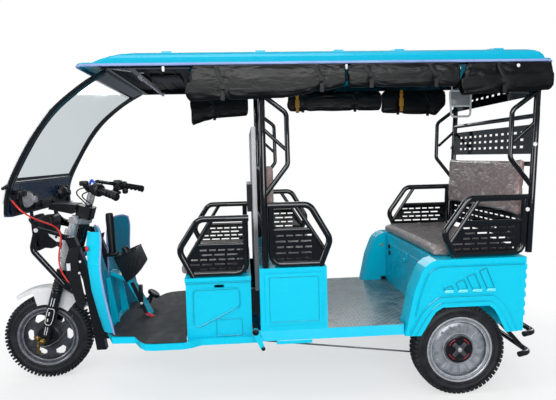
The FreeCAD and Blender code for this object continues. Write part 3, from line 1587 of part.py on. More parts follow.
def curtain_roll(side, outline):
    """A rolled side curtain as a rounded bar under the roof's edge."""
    inner = float(pillar_y + size.tube_radius + 2)
    outer = inner + float(size.curtain_thickness)
    lip = float(size.roof_lip_z - size.seat_gap)
    low = min(float(z) for x, z in outline)
    near, far = outward(side, Length(inner, str(inner)), Length(outer, str(outer)))
    rolled = side_prism(outline, near, far)
    middle = (inner + outer) / 2
    bulge = [(inner, lip), (inner, low + 20), (middle - 12, low), (middle + 12, low),
             (outer, low + 24), (outer, lip - 60), (outer - 18, lip)]
    section = end_prism([(side * y, z) for y, z in bulge], -1500, 1500)
    return rolled.common(section)


def make_curtains():
    """Three rolled curtains on each side; the far ones hang lower."""
    lip = size.roof_lip_z - size.seat_gap
    front, rear = size.roof_front_x, size.roof_rear_x
    near = [[(front + 502, lip - 165), (front + 950, lip - 158), (front + 1246, lip - 112),
             (front + 1246, lip), (front + 502, lip)],
            [(front + 1258, lip - 114), (front + 1796, lip - 114), (front + 1796, lip),
             (front + 1258, lip)],
            [(rear - 479, lip - 158), (rear - 23, lip - 140), (rear - 23, lip), (rear - 479, lip)]]
    far = [[(front + 417, lip - 168), (front + 800, lip - 160), (front + 800, lip),
            (front + 417, lip)],
           [(front + 1066, lip - 130), (front + 1705, lip - 132), (front + 1705, lip),
            (front + 1066, lip)],
           [(front + 1712, lip - 150), (front + 2100, lip - 172), (rear - 130, lip - 120),
            (rear - 130, lip), (front + 1712, lip)]]
    rolls = [curtain_roll(LEFT, outline) for outline in near]
    rolls += [curtain_roll(RIGHT, outline) for outline in far]
    feature("curtain_rolls", Part.makeCompound(rolls))


# The free cable

CABLE_POINTS = [(-1180, -436, 1050), (-1155, -430, 1006), (-1123, -388, 964), (-1102, -330, 936),
                (-1081, -266, 912), (-1062, -219, 888), (-1048, -198, 846), (-1054, -193, 795),
                (-1067, -192, 744), (-1070, -192, 696), (-1062, -192, 652), (-1046, -192, 616),
                (-1026, -190, 584)]


def make_cable():
    """The red cable from the cowl's side to the bow, on smooth arcs."""
    points = [Vector(*place) for place in CABLE_POINTS]
    radii = []
    for before, corner, after in zip(points, points[1:], points[2:]):
        short = min((corner - before).Length, (after - corner).Length)
        half_turn = (corner - before).getAngle(after - corner) / 2
        radii.append(0.45 * short / math.tan(half_turn))
    print("cable radii", [round(radius) for radius in radii])
    path = bent_path(points, radii)
    shape = swept(points, size.cable_radius, radii)
    section = math.pi * float(size.cable_radius) ** 2
    print("cable length %.0f, volume over section %.0f" % (path.Length, shape.Volume / section))
    feature("red_cable", shape)
    gap = float(size.seat_gap)
    top = points[0] - (points[1] - points[0]).normalize() * gap
    back = (points[0] - points[1]).normalize()
    grommet = Part.makeCylinder(8, 16, top, back)
    y = -float(size.screen_half) - gap
    side = make_box(top.x - 12, top.x + 30, y - 10, y, top.z + 4, top.z + 26)
    low = points[-1]
    plane = -float(size.bow_y + size.bow_radius) - gap
    along = (low - points[-2]).normalize()
    collar = Part.makeCylinder(8, 14, low + along * gap, along)
    clip = make_box(low.x - 22, low.x + 16, low.y - 6, plane, low.z - 34, low.z - 8)
    feature("cable_clips", Part.makeCompound([one_solid([grommet, side]),
                                              one_solid([collar, clip])]))


make_wheels()
make_sliders()
make_springs()
make_fork_upper()
make_handlebar()
make_mudguard()
make_dash()
make_chassis()
make_bow()
make_driver_floor()
make_mat()
make_passenger_floor()
make_driver_box()
make_passenger_box()
make_doors()
make_battery()
make_rear_body()
make_rear_base()
make_lamps()
make_lids()
make_cushions()
make_partition()
make_hoops()
make_rails()
make_roof()
make_windscreen()
make_leg_shield()
make_guards()
make_console()
make_rear_axle()
make_leaf_springs()
make_rear_bumper()
make_brakes()
make_curtains()
make_cable()

doc.recompute()
for obj in doc.Objects:
    faults = [state for state in obj.State if state in ("Invalid", "Error")]
    if faults:
        raise RuntimeError("%s did not build: %s" % (obj.Label, faults))
for made in cuts:
    if made.Shape.Volume > made.BaseFeature.Shape.Volume - 1:
        raise RuntimeError("%s cut nothing" % made.Label)
faulty = [obj.Label for obj in nodes if obj.Shape.isNull() or not obj.Shape.isValid()]
if faulty:
    raise RuntimeError("No valid shape: " + ", ".join(faulty))
os.makedirs("parts", exist_ok=True)
for obj in nodes:
    obj.Shape.exportStep("parts/%s.step" % obj.Label)
print("%d nodes written" % len(nodes))
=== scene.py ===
# %% [markdown]
# # A battery auto rickshaw, dressed for a studio picture
#
# The vehicle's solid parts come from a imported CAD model, which stays as it is. This lesson
# gives every part its finish and models by hand what a solid can't show well: tyre tread,
# stuffed seats, rolled curtains, trim, lamps and small fittings.

# %% Load the frame
import json
import math

import bmesh
import bpy
from mathutils import Matrix, Vector, noise


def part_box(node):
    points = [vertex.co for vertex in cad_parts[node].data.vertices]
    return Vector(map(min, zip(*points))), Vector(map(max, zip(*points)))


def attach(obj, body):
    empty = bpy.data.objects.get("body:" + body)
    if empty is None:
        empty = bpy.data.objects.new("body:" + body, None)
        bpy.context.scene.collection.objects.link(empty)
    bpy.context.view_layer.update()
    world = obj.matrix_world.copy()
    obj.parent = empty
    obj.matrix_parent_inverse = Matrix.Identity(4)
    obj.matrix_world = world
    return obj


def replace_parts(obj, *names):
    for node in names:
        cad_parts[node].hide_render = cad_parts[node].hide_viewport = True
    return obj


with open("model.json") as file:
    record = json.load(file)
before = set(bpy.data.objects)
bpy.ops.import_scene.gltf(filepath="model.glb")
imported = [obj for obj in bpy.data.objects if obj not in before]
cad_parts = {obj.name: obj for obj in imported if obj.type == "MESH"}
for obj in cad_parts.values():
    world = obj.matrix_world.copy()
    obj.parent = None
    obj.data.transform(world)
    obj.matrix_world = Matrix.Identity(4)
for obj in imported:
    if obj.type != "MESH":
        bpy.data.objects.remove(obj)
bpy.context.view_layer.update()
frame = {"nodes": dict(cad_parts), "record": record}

# %% [markdown]
# ## The camera
#
# The picture was taken from the vehicle's left side, a little above seat height and almost
# square on. One could move a camera about until the picture fits. Here its place and turn
# were measured from straight edges of the vehicle, so they are written as plain numbers.
# The small roll levels the picture as it was.

# %% Camera
YAW, PITCH, ROLL = 0.0675063, 0.0872548, -0.0237753
CAMERA_PLACE = (-0.0757, -2.8794, 1.2278)
FOCAL_PIXELS, PICTURE_PIXELS, SENSOR_WIDTH = 498.338, 556, 36
ahead = Vector((math.sin(YAW) * math.cos(PITCH), math.cos(YAW) * math.cos(PITCH), -math.sin(PITCH)))
across = Vector((math.cos(YAW), -math.sin(YAW), 0))
upward = across.cross(ahead)
right = math.cos(ROLL) * across + math.sin(ROLL) * upward
top = math.cos(ROLL) * upward - math.sin(ROLL) * across
bpy.ops.object.camera_add(location=CAMERA_PLACE)
camera = bpy.context.object
camera.rotation_euler = Matrix((right, top, -ahead)).transposed().to_euler()
camera.data.sensor_width = SENSOR_WIDTH
camera.data.lens = FOCAL_PIXELS / PICTURE_PIXELS * SENSOR_WIDTH
camera.data.clip_end = 200
bpy.context.scene.camera = camera
bpy.context.scene.view_settings.view_transform = "Standard"
print("lens", round(camera.data.lens, 2), "mm")


# %% [markdown]
# ## Colours
#
# Colours are picked as screen values from 0 to 255. Shaders work in linear light, so
# one helper turns the first into the second.

# %% Colour helper
def screen(red, green, blue):
    """A screen colour, 0 to 255, as a linear colour for a shader."""
    def linear(value):
        value /= 255
        return value / 12.92 if value < 0.04045 else ((value + 0.055) / 1.055) ** 2.4
    return (linear(red), linear(green), linear(blue), 1)


# %% [markdown]
# ## A small kit for procedural finishes
#
# Every finish starts from one Principled shader. Helpers add a pattern that reads Object
# coordinates, mix two colours by it, and raise or sink the surface by it as bump.

# %% Shader and node helpers
FACTOR, FIRST, SECOND, RESULT = 0, 6, 7, 2      # sockets of a colour Mix node


def shader_of(made):
    return made.node_tree.nodes["Principled BSDF"]


def new_finish(name, colour, rough, metal=0.0, coat=0.0, coat_rough=0.05, specular=0.5):
    """A material with one shader whose plain values are set on its own sockets."""
    made = bpy.data.materials.new(name)
    made.use_nodes = True
    plain = {"Base Color": colour, "Roughness": rough, "Metallic": metal, "Coat Weight": coat,
             "Coat Roughness": coat_rough, "Specular IOR Level": specular}
    for socket, value in plain.items():
        shader_of(made).inputs[socket].default_value = value
    print("finish", name)
    return made


def node(made, kind, **values):
    """Adds a node and sets its inputs by name, with _ for a space, or its settings."""
    added = made.node_tree.nodes.new(kind)
    for key, value in values.items():
        if hasattr(added, key):
            setattr(added, key, value)
        else:
            added.inputs[key.replace("_", " ")].default_value = value
    return added


def join(made, start, end):
    made.node_tree.links.new(start, end)


# %% [markdown]
# A pattern is a number from 0 to 1 at each place on a surface. All patterns start from Object
# coordinates, so a spot has the same size in metres on every piece.

# %% Pattern helpers
def place_on(made, stretch=(1, 1, 1), turn=(0, 0, 0)):
    """Object coordinates, stretched and turned."""
    coords = node(made, "ShaderNodeTexCoord")
    mapped = node(made, "ShaderNodeMapping")
    mapped.inputs["Scale"].default_value = stretch
    mapped.inputs["Rotation"].default_value = turn
    join(made, coords.outputs["Object"], mapped.inputs["Vector"])
    return mapped.outputs["Vector"]


def axes_of(made, stretch=(1, 1, 1), turn=(0, 0, 0)):
    """The x, y and z of Object coordinates, as three patterns."""
    split = node(made, "ShaderNodeSeparateXYZ")
    join(made, place_on(made, stretch, turn), split.inputs[0])
    return split.outputs


def cloudy(made, size, detail=4, stretch=(1, 1, 1), turn=(0, 0, 0), bend=0.0):
    """A soft noise whose spots are about `size` metres wide."""
    added = node(made, "ShaderNodeTexNoise", Scale=1 / size, Detail=detail, Distortion=bend)
    join(made, place_on(made, stretch, turn), added.inputs["Vector"])
    return added.outputs["Fac"]


def steps(made, value, low, high):
    """Stretches a 0 to 1 pattern so that it runs from 0 at low to 1 at high."""
    ramp = node(made, "ShaderNodeMapRange")
    ramp.inputs["From Min"].default_value = low
    ramp.inputs["From Max"].default_value = high
    join(made, value, ramp.inputs["Value"])
    return ramp.outputs["Result"]


def arithmetic(made, operation, first, second):
    """One step of arithmetic between patterns or numbers."""
    added = node(made, "ShaderNodeMath", operation=operation)
    for socket, value in zip(added.inputs, (first, second)):
        if isinstance(value, (int, float)):
            socket.default_value = value
        else:
            join(made, value, socket)
    return added.outputs[0]


# %% [markdown]
# A pattern can drive the colour, the roughness or the bump. Colours lie over each other like
# coats of paint: each new one covers the last where its pattern is near 1.

# %% Helpers that use a pattern
def coloured(made, factor, first, second):
    """Mixes two colours by a pattern into the shader's colour."""
    mix = node(made, "ShaderNodeMix", data_type="RGBA")
    mix.inputs[FIRST].default_value = first
    mix.inputs[SECOND].default_value = second
    join(made, factor, mix.inputs[FACTOR])
    join(made, mix.outputs[RESULT], shader_of(made).inputs["Base Color"])


def recoloured(made, factor, colour):
    """Lays one more colour over what the shader already has, by another pattern."""
    base = shader_of(made).inputs["Base Color"]
    over = node(made, "ShaderNodeMix", data_type="RGBA")
    over.inputs[SECOND].default_value = colour
    join(made, base.links[0].from_socket, over.inputs[FIRST])
    join(made, factor, over.inputs[FACTOR])
    join(made, over.outputs[RESULT], base)


def roughened(made, factor, low, high):
    """Lets a pattern move the roughness between two values."""
    ramp = node(made, "ShaderNodeMapRange")
    ramp.inputs["To Min"].default_value = low
    ramp.inputs["To Max"].default_value = high
    join(made, factor, ramp.inputs["Value"])
    join(made, ramp.outputs["Result"], shader_of(made).inputs["Roughness"])


def raised(made, height, depth, before=None, coat=False):
    """Bumps the surface by a pattern; depth is in metres."""
    bump = node(made, "ShaderNodeBump", Distance=depth)
    join(made, height, bump.inputs["Height"])
    if before is not None:
        join(made, before, bump.inputs["Normal"])
    join(made, bump.outputs["Normal"], shader_of(made).inputs["Normal"])
    if coat:
        join(made, bump.outputs["Normal"], shader_of(made).inputs["Coat Normal"])
    return bump.outputs["Normal"]


# %% [markdown]
# ## Sheet-metal paint
#
# The body is a bright cyan metallic paint under clear lacquer. Real paint isn't one flat
# colour: the flakes shift it slightly, dust settles on it, and the lacquer has a faint
# orange-peel ripple that softens what it reflects. A plain glossy colour would do from far
# off, but close up it looks like wax, so each of the three gets a pattern of its own size.

# %% Paints
def painted(name, colour, dusty, rough=0.3, coat=1.0, ripple=0.00025, specular=0.5):
    made = new_finish(name, colour, rough, 0.0, coat, 0.04, specular)
    flakes = steps(made, cloudy(made, 0.0012, 2), 0.35, 0.65)
    coloured(made, flakes, colour, tuple(part * 0.86 for part in colour[:3]) + (1,))
    dust = steps(made, cloudy(made, 0.09, 6, bend=0.4), 0.55, 0.95)
    recoloured(made, arithmetic(made, "MULTIPLY", dust, 0.22), dusty)
    roughened(made, dust, rough - 0.04, rough + 0.16)
    raised(made, cloudy(made, 0.02, 3), ripple, coat=True)
    return made


body_paint = painted("body_paint", screen(0, 200, 231), screen(10, 188, 214), 0.3, 0.35,
                     specular=0.2)
# The roof's paint is the body paint made darker: painted shade against the stronger light from
# above.
roof_shaded_paint = painted("roof_shaded_paint", screen(0, 172, 204), screen(10, 160, 190), 0.3, 0.35,
                     specular=0.2)
frame_paint = painted("frame_paint", screen(7, 9, 13), screen(36, 39, 45), 0.12, 1.0, 0.00012)
cowl_paint = painted("cowl_paint", screen(0, 40, 74), screen(20, 60, 90), 0.3, 0.35)
fork_paint = painted("fork_paint", screen(13, 15, 19), screen(44, 46, 52), 0.3, 0.6)
axle_paint = painted("axle_paint", screen(30, 30, 33), screen(92, 84, 74), 0.5, 0.2, 0.0005)
# Darker cyan for the lines beside pressed borders and louvres: painted shade, with some dust.
seam_shade_and_dust = painted("seam_shade_and_dust", screen(0, 112, 142), screen(60, 120, 136), 0.4, 0.5)


# %% [markdown]
# ## Tread plate
#
# The passenger floor is a steel plate rolled with a lens pattern: short bars that lean left
# and right in turn. Thousands of modelled bars would be heavy for so low a relief, so it is
# a pattern. Object coordinates are cut into small squares; in each one a lens shape is
# worked out, and every second square turns it over. Shoe marks make the grey blotchy.

# %% Tread plate finish
BARS_PER_METRE, EIGHTH_TURN, SILL_TOP = 38, 0.785, 0.3752


def tread_plate():
    made = new_finish("tread_plate", screen(120, 132, 134), 0.42, 0.0, 0.35, 0.18)

    def calc(operation, first, second=0):
        return arithmetic(made, operation, first, second)

    grid = axes_of(made, (BARS_PER_METRE,) * 3, (0, 0, EIGHTH_TURN))[:2]
    near = [calc("SUBTRACT", calc("FRACT", side), 0.5) for side in grid]
    odd = calc("ABSOLUTE", calc("MODULO", calc("ADD", *[calc("FLOOR", side) for side in grid]), 2))
    leaning = calc("MULTIPLY", near[1], calc("SUBTRACT", 1, calc("MULTIPLY", odd, 2)))
    along = calc("ABSOLUTE", calc("ADD", near[0], leaning))
    aside = calc("ABSOLUTE", calc("SUBTRACT", near[0], leaning))
    lens = calc("ADD", calc("POWER", calc("DIVIDE", along, 0.62), 2),
                calc("POWER", calc("DIVIDE", aside, 0.2), 2))
    height = steps(made, lens, 1.0, 0.35)
    marks = steps(made, cloudy(made, 0.11, 8, bend=1.2), 0.42, 0.62)
    blue = steps(made, cloudy(made, 0.3, 3), 0.56, 0.72)
    sill = calc("LESS_THAN", axes_of(made)[2], SILL_TOP)
    coloured(made, marks, screen(52, 74, 80), screen(124, 140, 142))
    recoloured(made, calc("MULTIPLY", blue, 0.5), screen(40, 130, 150))
    # The raised lenses get a lighter grey: painted highlight.
    recoloured(made, calc("MULTIPLY", height, 0.6), screen(196, 206, 206))
    recoloured(made, sill, screen(0, 200, 236))
    roughened(made, marks, 0.32, 0.5)
    raised(made, calc("MULTIPLY", height, calc("SUBTRACT", 1, sill)), 0.0016)
    return made


plate_finish = tread_plate()


# %% [markdown]
# ## Rubber, plastic, bare metal and glass
#
# These are quieter finishes. One flat colour each would be enough to tell them apart, but a
# perfectly even surface reads as computer grey under soft light. So each has a worn or
# smeared patch pattern, and a grain of the right size as bump.

# %% Quiet finishes
def rubbery(name, colour, lighter, rough=0.75, grain=0.0006, depth=0.0002):
    made = new_finish(name, colour, rough)
    worn = steps(made, cloudy(made, 0.05, 6), 0.45, 0.8)
    coloured(made, worn, colour, lighter)
    roughened(made, worn, rough - 0.1, min(rough + 0.12, 1))
    raised(made, cloudy(made, grain, 3), depth)
    return made


def metallic(name, colour, darker, rough=0.25, stretch=(1, 1, 1), depth=0.0001, metal=1.0):
    made = new_finish(name, colour, rough, metal)
    smear = steps(made, cloudy(made, 0.03, 6, stretch), 0.35, 0.75)
    coloured(made, smear, colour, darker)
    roughened(made, smear, rough, rough + 0.15)
    raised(made, cloudy(made, 0.004, 3, stretch), depth)
    return made


def moulded(name, colour, lighter, rough=0.42, grain=0.0011, depth=0.00012):
    made = new_finish(name, colour, rough)
    coloured(made, steps(made, cloudy(made, 0.12, 4), 0.4, 0.8), colour, lighter)
    raised(made, cloudy(made, grain, 2), depth)
    return made


tyre_rubber = rubbery("tyre_rubber", screen(25, 26, 30), screen(44, 44, 49), 0.6)
grip_rubber = rubbery("grip_rubber", screen(18, 18, 21), screen(34, 34, 37), 0.5)
boot_rubber = rubbery("boot_rubber", screen(13, 14, 17), screen(30, 30, 34), 0.4)
cable_skin = rubbery("cable_skin", screen(224, 42, 40), screen(236, 92, 84), 0.38, 0.002)
strap_web = rubbery("strap_web", screen(8, 8, 9), screen(18, 18, 20), 0.6, 0.0012, 0.0003)

# %% Metals
bright_metal = metallic("bright_metal", screen(228, 230, 234), screen(186, 188, 192), 0.24,
                        depth=0.00002, metal=0.62)
lamp_shell = metallic("lamp_shell", screen(176, 176, 178), screen(132, 132, 136), 0.42, metal=0.3)
wheel_silver = metallic("wheel_silver", screen(190, 194, 202), screen(132, 136, 145), 0.3,
                        metal=0.6)
wheel_dark = metallic("wheel_dark", screen(92, 94, 101), screen(58, 60, 66), 0.36, metal=0.5)
rim_steel = metallic("rim_steel", screen(178, 181, 188), screen(128, 131, 138), 0.24,
                     depth=0.00002, metal=0.7)
rod_metal = metallic("rod_metal", screen(150, 150, 150), screen(96, 94, 90), 0.4, (0.2, 1, 1))
brass = metallic("brass", screen(214, 178, 96), screen(150, 116, 60), 0.28)

# %% Plastics
black_plastic = moulded("black_plastic", screen(14, 15, 18), screen(27, 28, 32), 0.36)
blue_plastic = moulded("blue_plastic", screen(20, 96, 226), screen(10, 70, 190), 0.35)
# A lighter cyan for the louvre ledges: painted highlight.
ledge_highlight_paint = moulded("ledge_highlight_paint", screen(120, 236, 250), screen(90, 224, 244), 0.3)
guard_white = moulded("guard_white", screen(216, 216, 218), screen(190, 190, 194), 0.3)
board_grey = moulded("board_grey", screen(184, 184, 186), screen(156, 156, 160), 0.5)
battery_shell = moulded("battery_shell", screen(48, 50, 56), screen(64, 66, 72), 0.5)
lilac_trim = moulded("lilac_trim", screen(148, 168, 214), screen(126, 140, 196), 0.3)
marking_white = moulded("marking_white", screen(226, 226, 224), screen(200, 200, 198), 0.45)
marking_red = moulded("marking_red", screen(204, 34, 48), screen(170, 30, 40), 0.4)
amber_plastic = moulded("amber_plastic", screen(206, 142, 28), screen(170, 112, 20), 0.4)
lamp_red = moulded("lamp_red", screen(176, 16, 22), screen(130, 10, 16), 0.18)
lamp_grey = moulded("lamp_grey", screen(150, 152, 156), screen(110, 112, 118), 0.2)


def glassy(name, colour, rough):
    made = new_finish(name, colour, rough)
    shader_of(made).inputs["Transmission Weight"].default_value = 1.0
    shader_of(made).inputs["IOR"].default_value = 1.05
    haze = steps(made, cloudy(made, 0.25, 6, (1, 1, 0.3)), 0.45, 0.85)
    roughened(made, haze, rough, rough + 0.1)
    return made


screen_glass = glassy("screen_glass", screen(206, 214, 217), 0.04)


# %% [markdown]
# ## Floor mat
#
# The driver's mat is a loose sheet of dark rubber. It is scuffed, slightly wavy, and has a
# fine diamond grain. The waves are too flat to model one by one, so a broad bump carries
# them, and the grain's bump lies on top of it.

# %% Mat finish
mat_rubber = new_finish("mat_rubber", screen(44, 44, 46), 0.68)
scuffs = steps(mat_rubber, cloudy(mat_rubber, 0.06, 8, (1, 0.4, 1), bend=0.8), 0.45, 0.75)
coloured(mat_rubber, scuffs, screen(38, 38, 40), screen(72, 72, 74))
waves = raised(mat_rubber, cloudy(mat_rubber, 0.12, 3), 0.004)
raised(mat_rubber, cloudy(mat_rubber, 0.0015, 2), 0.0004, waves)

# %% [markdown]
# ## Seat vinyl in its clear wrap
#
# The seats are streaky brown-grey vinyl that is still in the clear film it was shipped in.
# The film could be a second, see-through mesh, but that is slow and easily cuts through the
# seat. Here it is the shader's glossy coat. The coat's own bump is sharp and crumpled, so
# highlights break up while the vinyl under it stays soft.

# %% Seat finishes
def film_over(made, spots, detail, bend, stretch, turn, ridge, depth):
    """Crumples the coat alone: sharp ridges where a noise crosses its middle."""
    creases = node(made, "ShaderNodeTexNoise", Scale=spots, Detail=detail, Distortion=bend)
    join(made, place_on(made, stretch, turn), creases.inputs["Vector"])
    off = arithmetic(made, "ABSOLUTE", arithmetic(made, "SUBTRACT", creases.outputs[0], 0.5), 0)
    bump = node(made, "ShaderNodeBump", Distance=depth)
    join(made, steps(made, off, ridge, 0.0), bump.inputs["Height"])
    join(made, bump.outputs["Normal"], shader_of(made).inputs["Coat Normal"])


seat_vinyl = new_finish("seat_vinyl", screen(150, 136, 132), 0.5, 0.0, 0.85, 0.09)
streaks = cloudy(seat_vinyl, 0.02, 6, (0.22, 1.6, 1.0), bend=1.5)
coloured(seat_vinyl, steps(seat_vinyl, streaks, 0.38, 0.66), screen(120, 107, 103),
         screen(172, 160, 155))
blotches = steps(seat_vinyl, cloudy(seat_vinyl, 0.13, 3), 0.45, 0.7)
recoloured(seat_vinyl, arithmetic(seat_vinyl, "MULTIPLY", blotches, 0.3), screen(146, 126, 122))
raised(seat_vinyl, cloudy(seat_vinyl, 0.003, 3), 0.0005)
film_over(seat_vinyl, 14, 5, 2.6, (1, 0.55, 1), (0.3, 0.1, 0.5), 0.12, 0.012)

back_vinyl = new_finish("back_vinyl", screen(172, 148, 142), 0.46, 0.0, 1.0, 0.04)
streaks = cloudy(back_vinyl, 0.05, 6, (1, 0.5, 1), bend=2.2)
coloured(back_vinyl, steps(back_vinyl, streaks, 0.42, 0.62), screen(146, 122, 118),
         screen(172, 150, 146))
raised(back_vinyl, cloudy(back_vinyl, 0.003, 3), 0.0005)
film_over(back_vinyl, 9, 4, 3.4, (1, 0.7, 1.2), (0.4, 0.2, 0.3), 0.06, 0.022)

# %% [markdown]
# ## Curtain cloth
#
# The side curtains are coated cloth, black and a little shiny like rainwear. A weave would
# be too fine to see from here. What shows are creases along each roll, where it was wound
# up tight, so a stretched noise makes them and a finer one gives the coating's grain.

# %% Curtain finish
curtain_cloth = new_finish("curtain_cloth", screen(8, 8, 10), 0.34, 0.0, 0.12, 0.2, 0.3)
fade = steps(curtain_cloth, cloudy(curtain_cloth, 0.08, 6, (0.5, 1, 1), bend=0.6), 0.4, 0.75)
coloured(curtain_cloth, fade, screen(4, 4, 5), screen(13, 13, 15))
roughened(curtain_cloth, fade, 0.3, 0.48)
creases = cloudy(curtain_cloth, 0.05, 4, (0.35, 1, 1), bend=1.2)
crease = raised(curtain_cloth, creases, 0.0024, coat=True)
raised(curtain_cloth, cloudy(curtain_cloth, 0.0012, 2), 0.0002, crease)

# %% [markdown]
# ## Give the CAD nodes their finishes
#
# Each CAD node keeps its mesh; only what is in its material slots changes. The record names
# a slot for each node, so one table from slot to finish dresses the whole frame.

# %% Dress the frame
FINISH_OF_SLOT = {
    "frame_black": frame_paint, "body_cyan": body_paint, "floor_plate": plate_finish,
    "rubber_mat": mat_rubber, "battery_case": battery_shell, "cowl_navy": cowl_paint,
    "black_plastic": black_plastic, "grey_board": board_grey, "seat_vinyl": seat_vinyl,
    "clear_screen": screen_glass, "axle_steel": axle_paint, "rod_steel": rod_metal,
    "curtain_fabric": curtain_cloth, "fork_black": fork_paint, "spring_steel": boot_rubber,
    "fork_bright": bright_metal, "grip_rubber": grip_rubber, "mudguard_grey": guard_white,
    "tyre_rubber": tyre_rubber, "front_rim_dark": wheel_dark, "rear_rim_silver": wheel_silver,
    "cable_red": cable_skin, "lamp_lens": lamp_grey,
}
for entry in frame["record"]["subparts"]:
    dressed = frame["nodes"][entry["node"]]
    dressed.data.materials.clear()
    dressed.data.materials.append(FINISH_OF_SLOT[entry["material_slot"]])
print(len(frame["nodes"]), "nodes dressed")

# %% [markdown]
# ## Painted shade across a panel
#
# The leg shield faces down and forward, so the real one looks a deeper blue towards its
# inner edge and its foot. Stronger lamps could not do that without spoiling the rest, so a
# soft step along one axis lays a darker colour there: painted shade. The partition board
# behind the driver turns darker below about 0.9 m by the same kind of step. The roof has a
# darker copy of the body paint, painted shade against the stronger light from above.

# %% Leg shield, board and roof
# A copy of the body paint that turns deeper blue towards the inner edge and the foot: painted
# shade.
shield_shaded_paint = body_paint.copy()
shield_shaded_paint.name = "shield_shaded_paint"
place = axes_of(shield_shaded_paint)
inner = arithmetic(shield_shaded_paint, "MULTIPLY", steps(shield_shaded_paint, place[1], 0.02, 0.20), 0.75)
foot = arithmetic(shield_shaded_paint, "MULTIPLY", steps(shield_shaded_paint, place[2], 0.68, 0.40), 0.35)
recoloured(shield_shaded_paint, arithmetic(shield_shaded_paint, "MAXIMUM", inner, foot), screen(0, 84, 122))
recoloured(board_grey, steps(board_grey, axes_of(board_grey)[2], 0.95, 0.86), screen(84, 86, 90))
frame["nodes"]["leg_shield"].data.materials[0] = shield_shaded_paint
frame["nodes"]["roof_shell"].data.materials[0] = roof_shaded_paint
print("leg shield and roof have their own paint")


# %% [markdown]
# ## Studio
#
# The picture has a plain white surround. A white backdrop would need strong light, and that
# light would wash out the paint. So the floor is pale and takes the shadow close to the
# vehicle, and further out it fades into the white that only the camera sees in the world.
# Gloss sees a dimmer sky. Large soft lamps stand in for an open sky, so the paint shows
# broad, gentle reflections.

# %% Floor
FLOOR_GREY, PAPER_WHITE, DUSK_BLUE = (0.86, 0.86, 0.86, 1), (1, 1, 1, 1), (0.75, 0.85, 1, 1)


def either(made, factor, first, second):
    """Mixes two shaders: the first where the factor is 0, the second where it is 1."""
    mixer = node(made, "ShaderNodeMixShader")
    for socket, value in zip(mixer.inputs, (factor, first, second)):
        join(made, value, socket)
    return mixer.outputs[0]


def rays_of(made):
    """1 for rays that the camera sees, also through glass, and 1 for mirrored rays."""
    path = node(made, "ShaderNodeLightPath").outputs
    looked_at = arithmetic(made, "MAXIMUM", path["Is Camera Ray"], path["Is Transmission Ray"])
    return looked_at, path["Is Glossy Ray"]


bpy.ops.mesh.primitive_circle_add(vertices=96, radius=30, fill_type="NGON", location=(0, 0, 0))
floor = bpy.context.object
floor.name = "studio_floor"
floor_finish = new_finish("floor_finish", FLOOR_GREY, 0.9)
paper = node(floor_finish, "ShaderNodeEmission", Color=PAPER_WHITE)
dusk = node(floor_finish, "ShaderNodeEmission", Color=DUSK_BLUE, Strength=0.16)
far = node(floor_finish, "ShaderNodeVectorMath", operation="LENGTH")
join(floor_finish, place_on(floor_finish, (0.55, 1, 1)), far.inputs[0])
looked_at, mirrored = rays_of(floor_finish)
shaded = arithmetic(floor_finish, "MAXIMUM",
                    steps(floor_finish, far.outputs["Value"], 0.6, 1.5), 0.62)
fading = arithmetic(floor_finish, "MULTIPLY", shaded, looked_at)
plain_floor = either(floor_finish, fading, shader_of(floor_finish).outputs[0], paper.outputs[0])
join(floor_finish, either(floor_finish, mirrored, plain_floor, dusk.outputs[0]),
     floor_finish.node_tree.nodes["Material Output"].inputs["Surface"])
floor.data.materials.append(floor_finish)

# %% World
world = bpy.context.scene.world or bpy.data.worlds.new("studio")
bpy.context.scene.world = world
world.use_nodes = True
soft = world.node_tree.nodes["Background"]
soft.inputs["Color"].default_value = (0.93, 0.96, 1, 1)
soft.inputs["Strength"].default_value = 0.5
white = node(world, "ShaderNodeBackground", Color=PAPER_WHITE)
dim = node(world, "ShaderNodeBackground", Color=(0.8, 0.9, 1, 1), Strength=0.22)
looked_at, mirrored = rays_of(world)
sky = either(world, mirrored, soft.outputs[0], dim.outputs[0])
join(world, either(world, looked_at, sky, white.outputs[0]),
     world.node_tree.nodes["World Output"].inputs["Surface"])


# %% Lamps
def soft_lamp(name, place, aim, width, height, watts):
    bpy.ops.object.light_add(type="AREA", location=place)
    lamp = bpy.context.object
    lamp.name = name
    lamp.data.shape = "RECTANGLE"
    lamp.data.size = width
    lamp.data.size_y = height
    lamp.data.energy = watts
    lamp.rotation_euler = (Vector(place) - Vector(aim)).to_track_quat("Z", "Y").to_euler()
    print(name, watts, "W")


soft_lamp("sky_left", (-0.6, -5.2, 3.6), (0, 0, 0.8), 6, 1.6, 190)
soft_lamp("sky_low", (1.2, -5.4, 1.1), (0, 0, 0.6), 3.2, 0.9, 38)
soft_lamp("sky_top", (0.2, -0.4, 5.2), (0, 0, 0.8), 5, 2, 95)
soft_lamp("sky_front", (-5.2, -1.4, 2.4), (0, 0, 0.9), 2, 2.4, 50)
soft_lamp("sky_back", (4.6, 2.0, 2.8), (0, 0, 0.9), 2, 2.4, 45)
soft_lamp("sky_right", (-0.4, 5.0, 3.0), (0, 0, 0.9), 5, 1.6, 70)


# %% [markdown]
# ## Modelling helpers
#
# Everything below is modelled with the same moves one would make by hand: add a primitive,
# go into edit mode, select by place, and extrude, bevel, spin or push. These helpers keep
# the selection clean, because an operator acts on all that is selected.

# %% Selection and finishing helpers
def only(obj):
    """Makes one object the selected and active one."""
    bpy.ops.object.select_all(action="DESELECT")
    obj.select_set(True)
    bpy.context.view_layer.objects.active = obj


def open_mesh(obj, everything=True):
    """Goes into edit mode with all or nothing selected."""
    only(obj)
    bpy.ops.object.mode_set(mode="EDIT")
    bpy.context.tool_settings.mesh_select_mode = (True, False, False)
    bpy.ops.mesh.select_all(action="SELECT" if everything else "DESELECT")


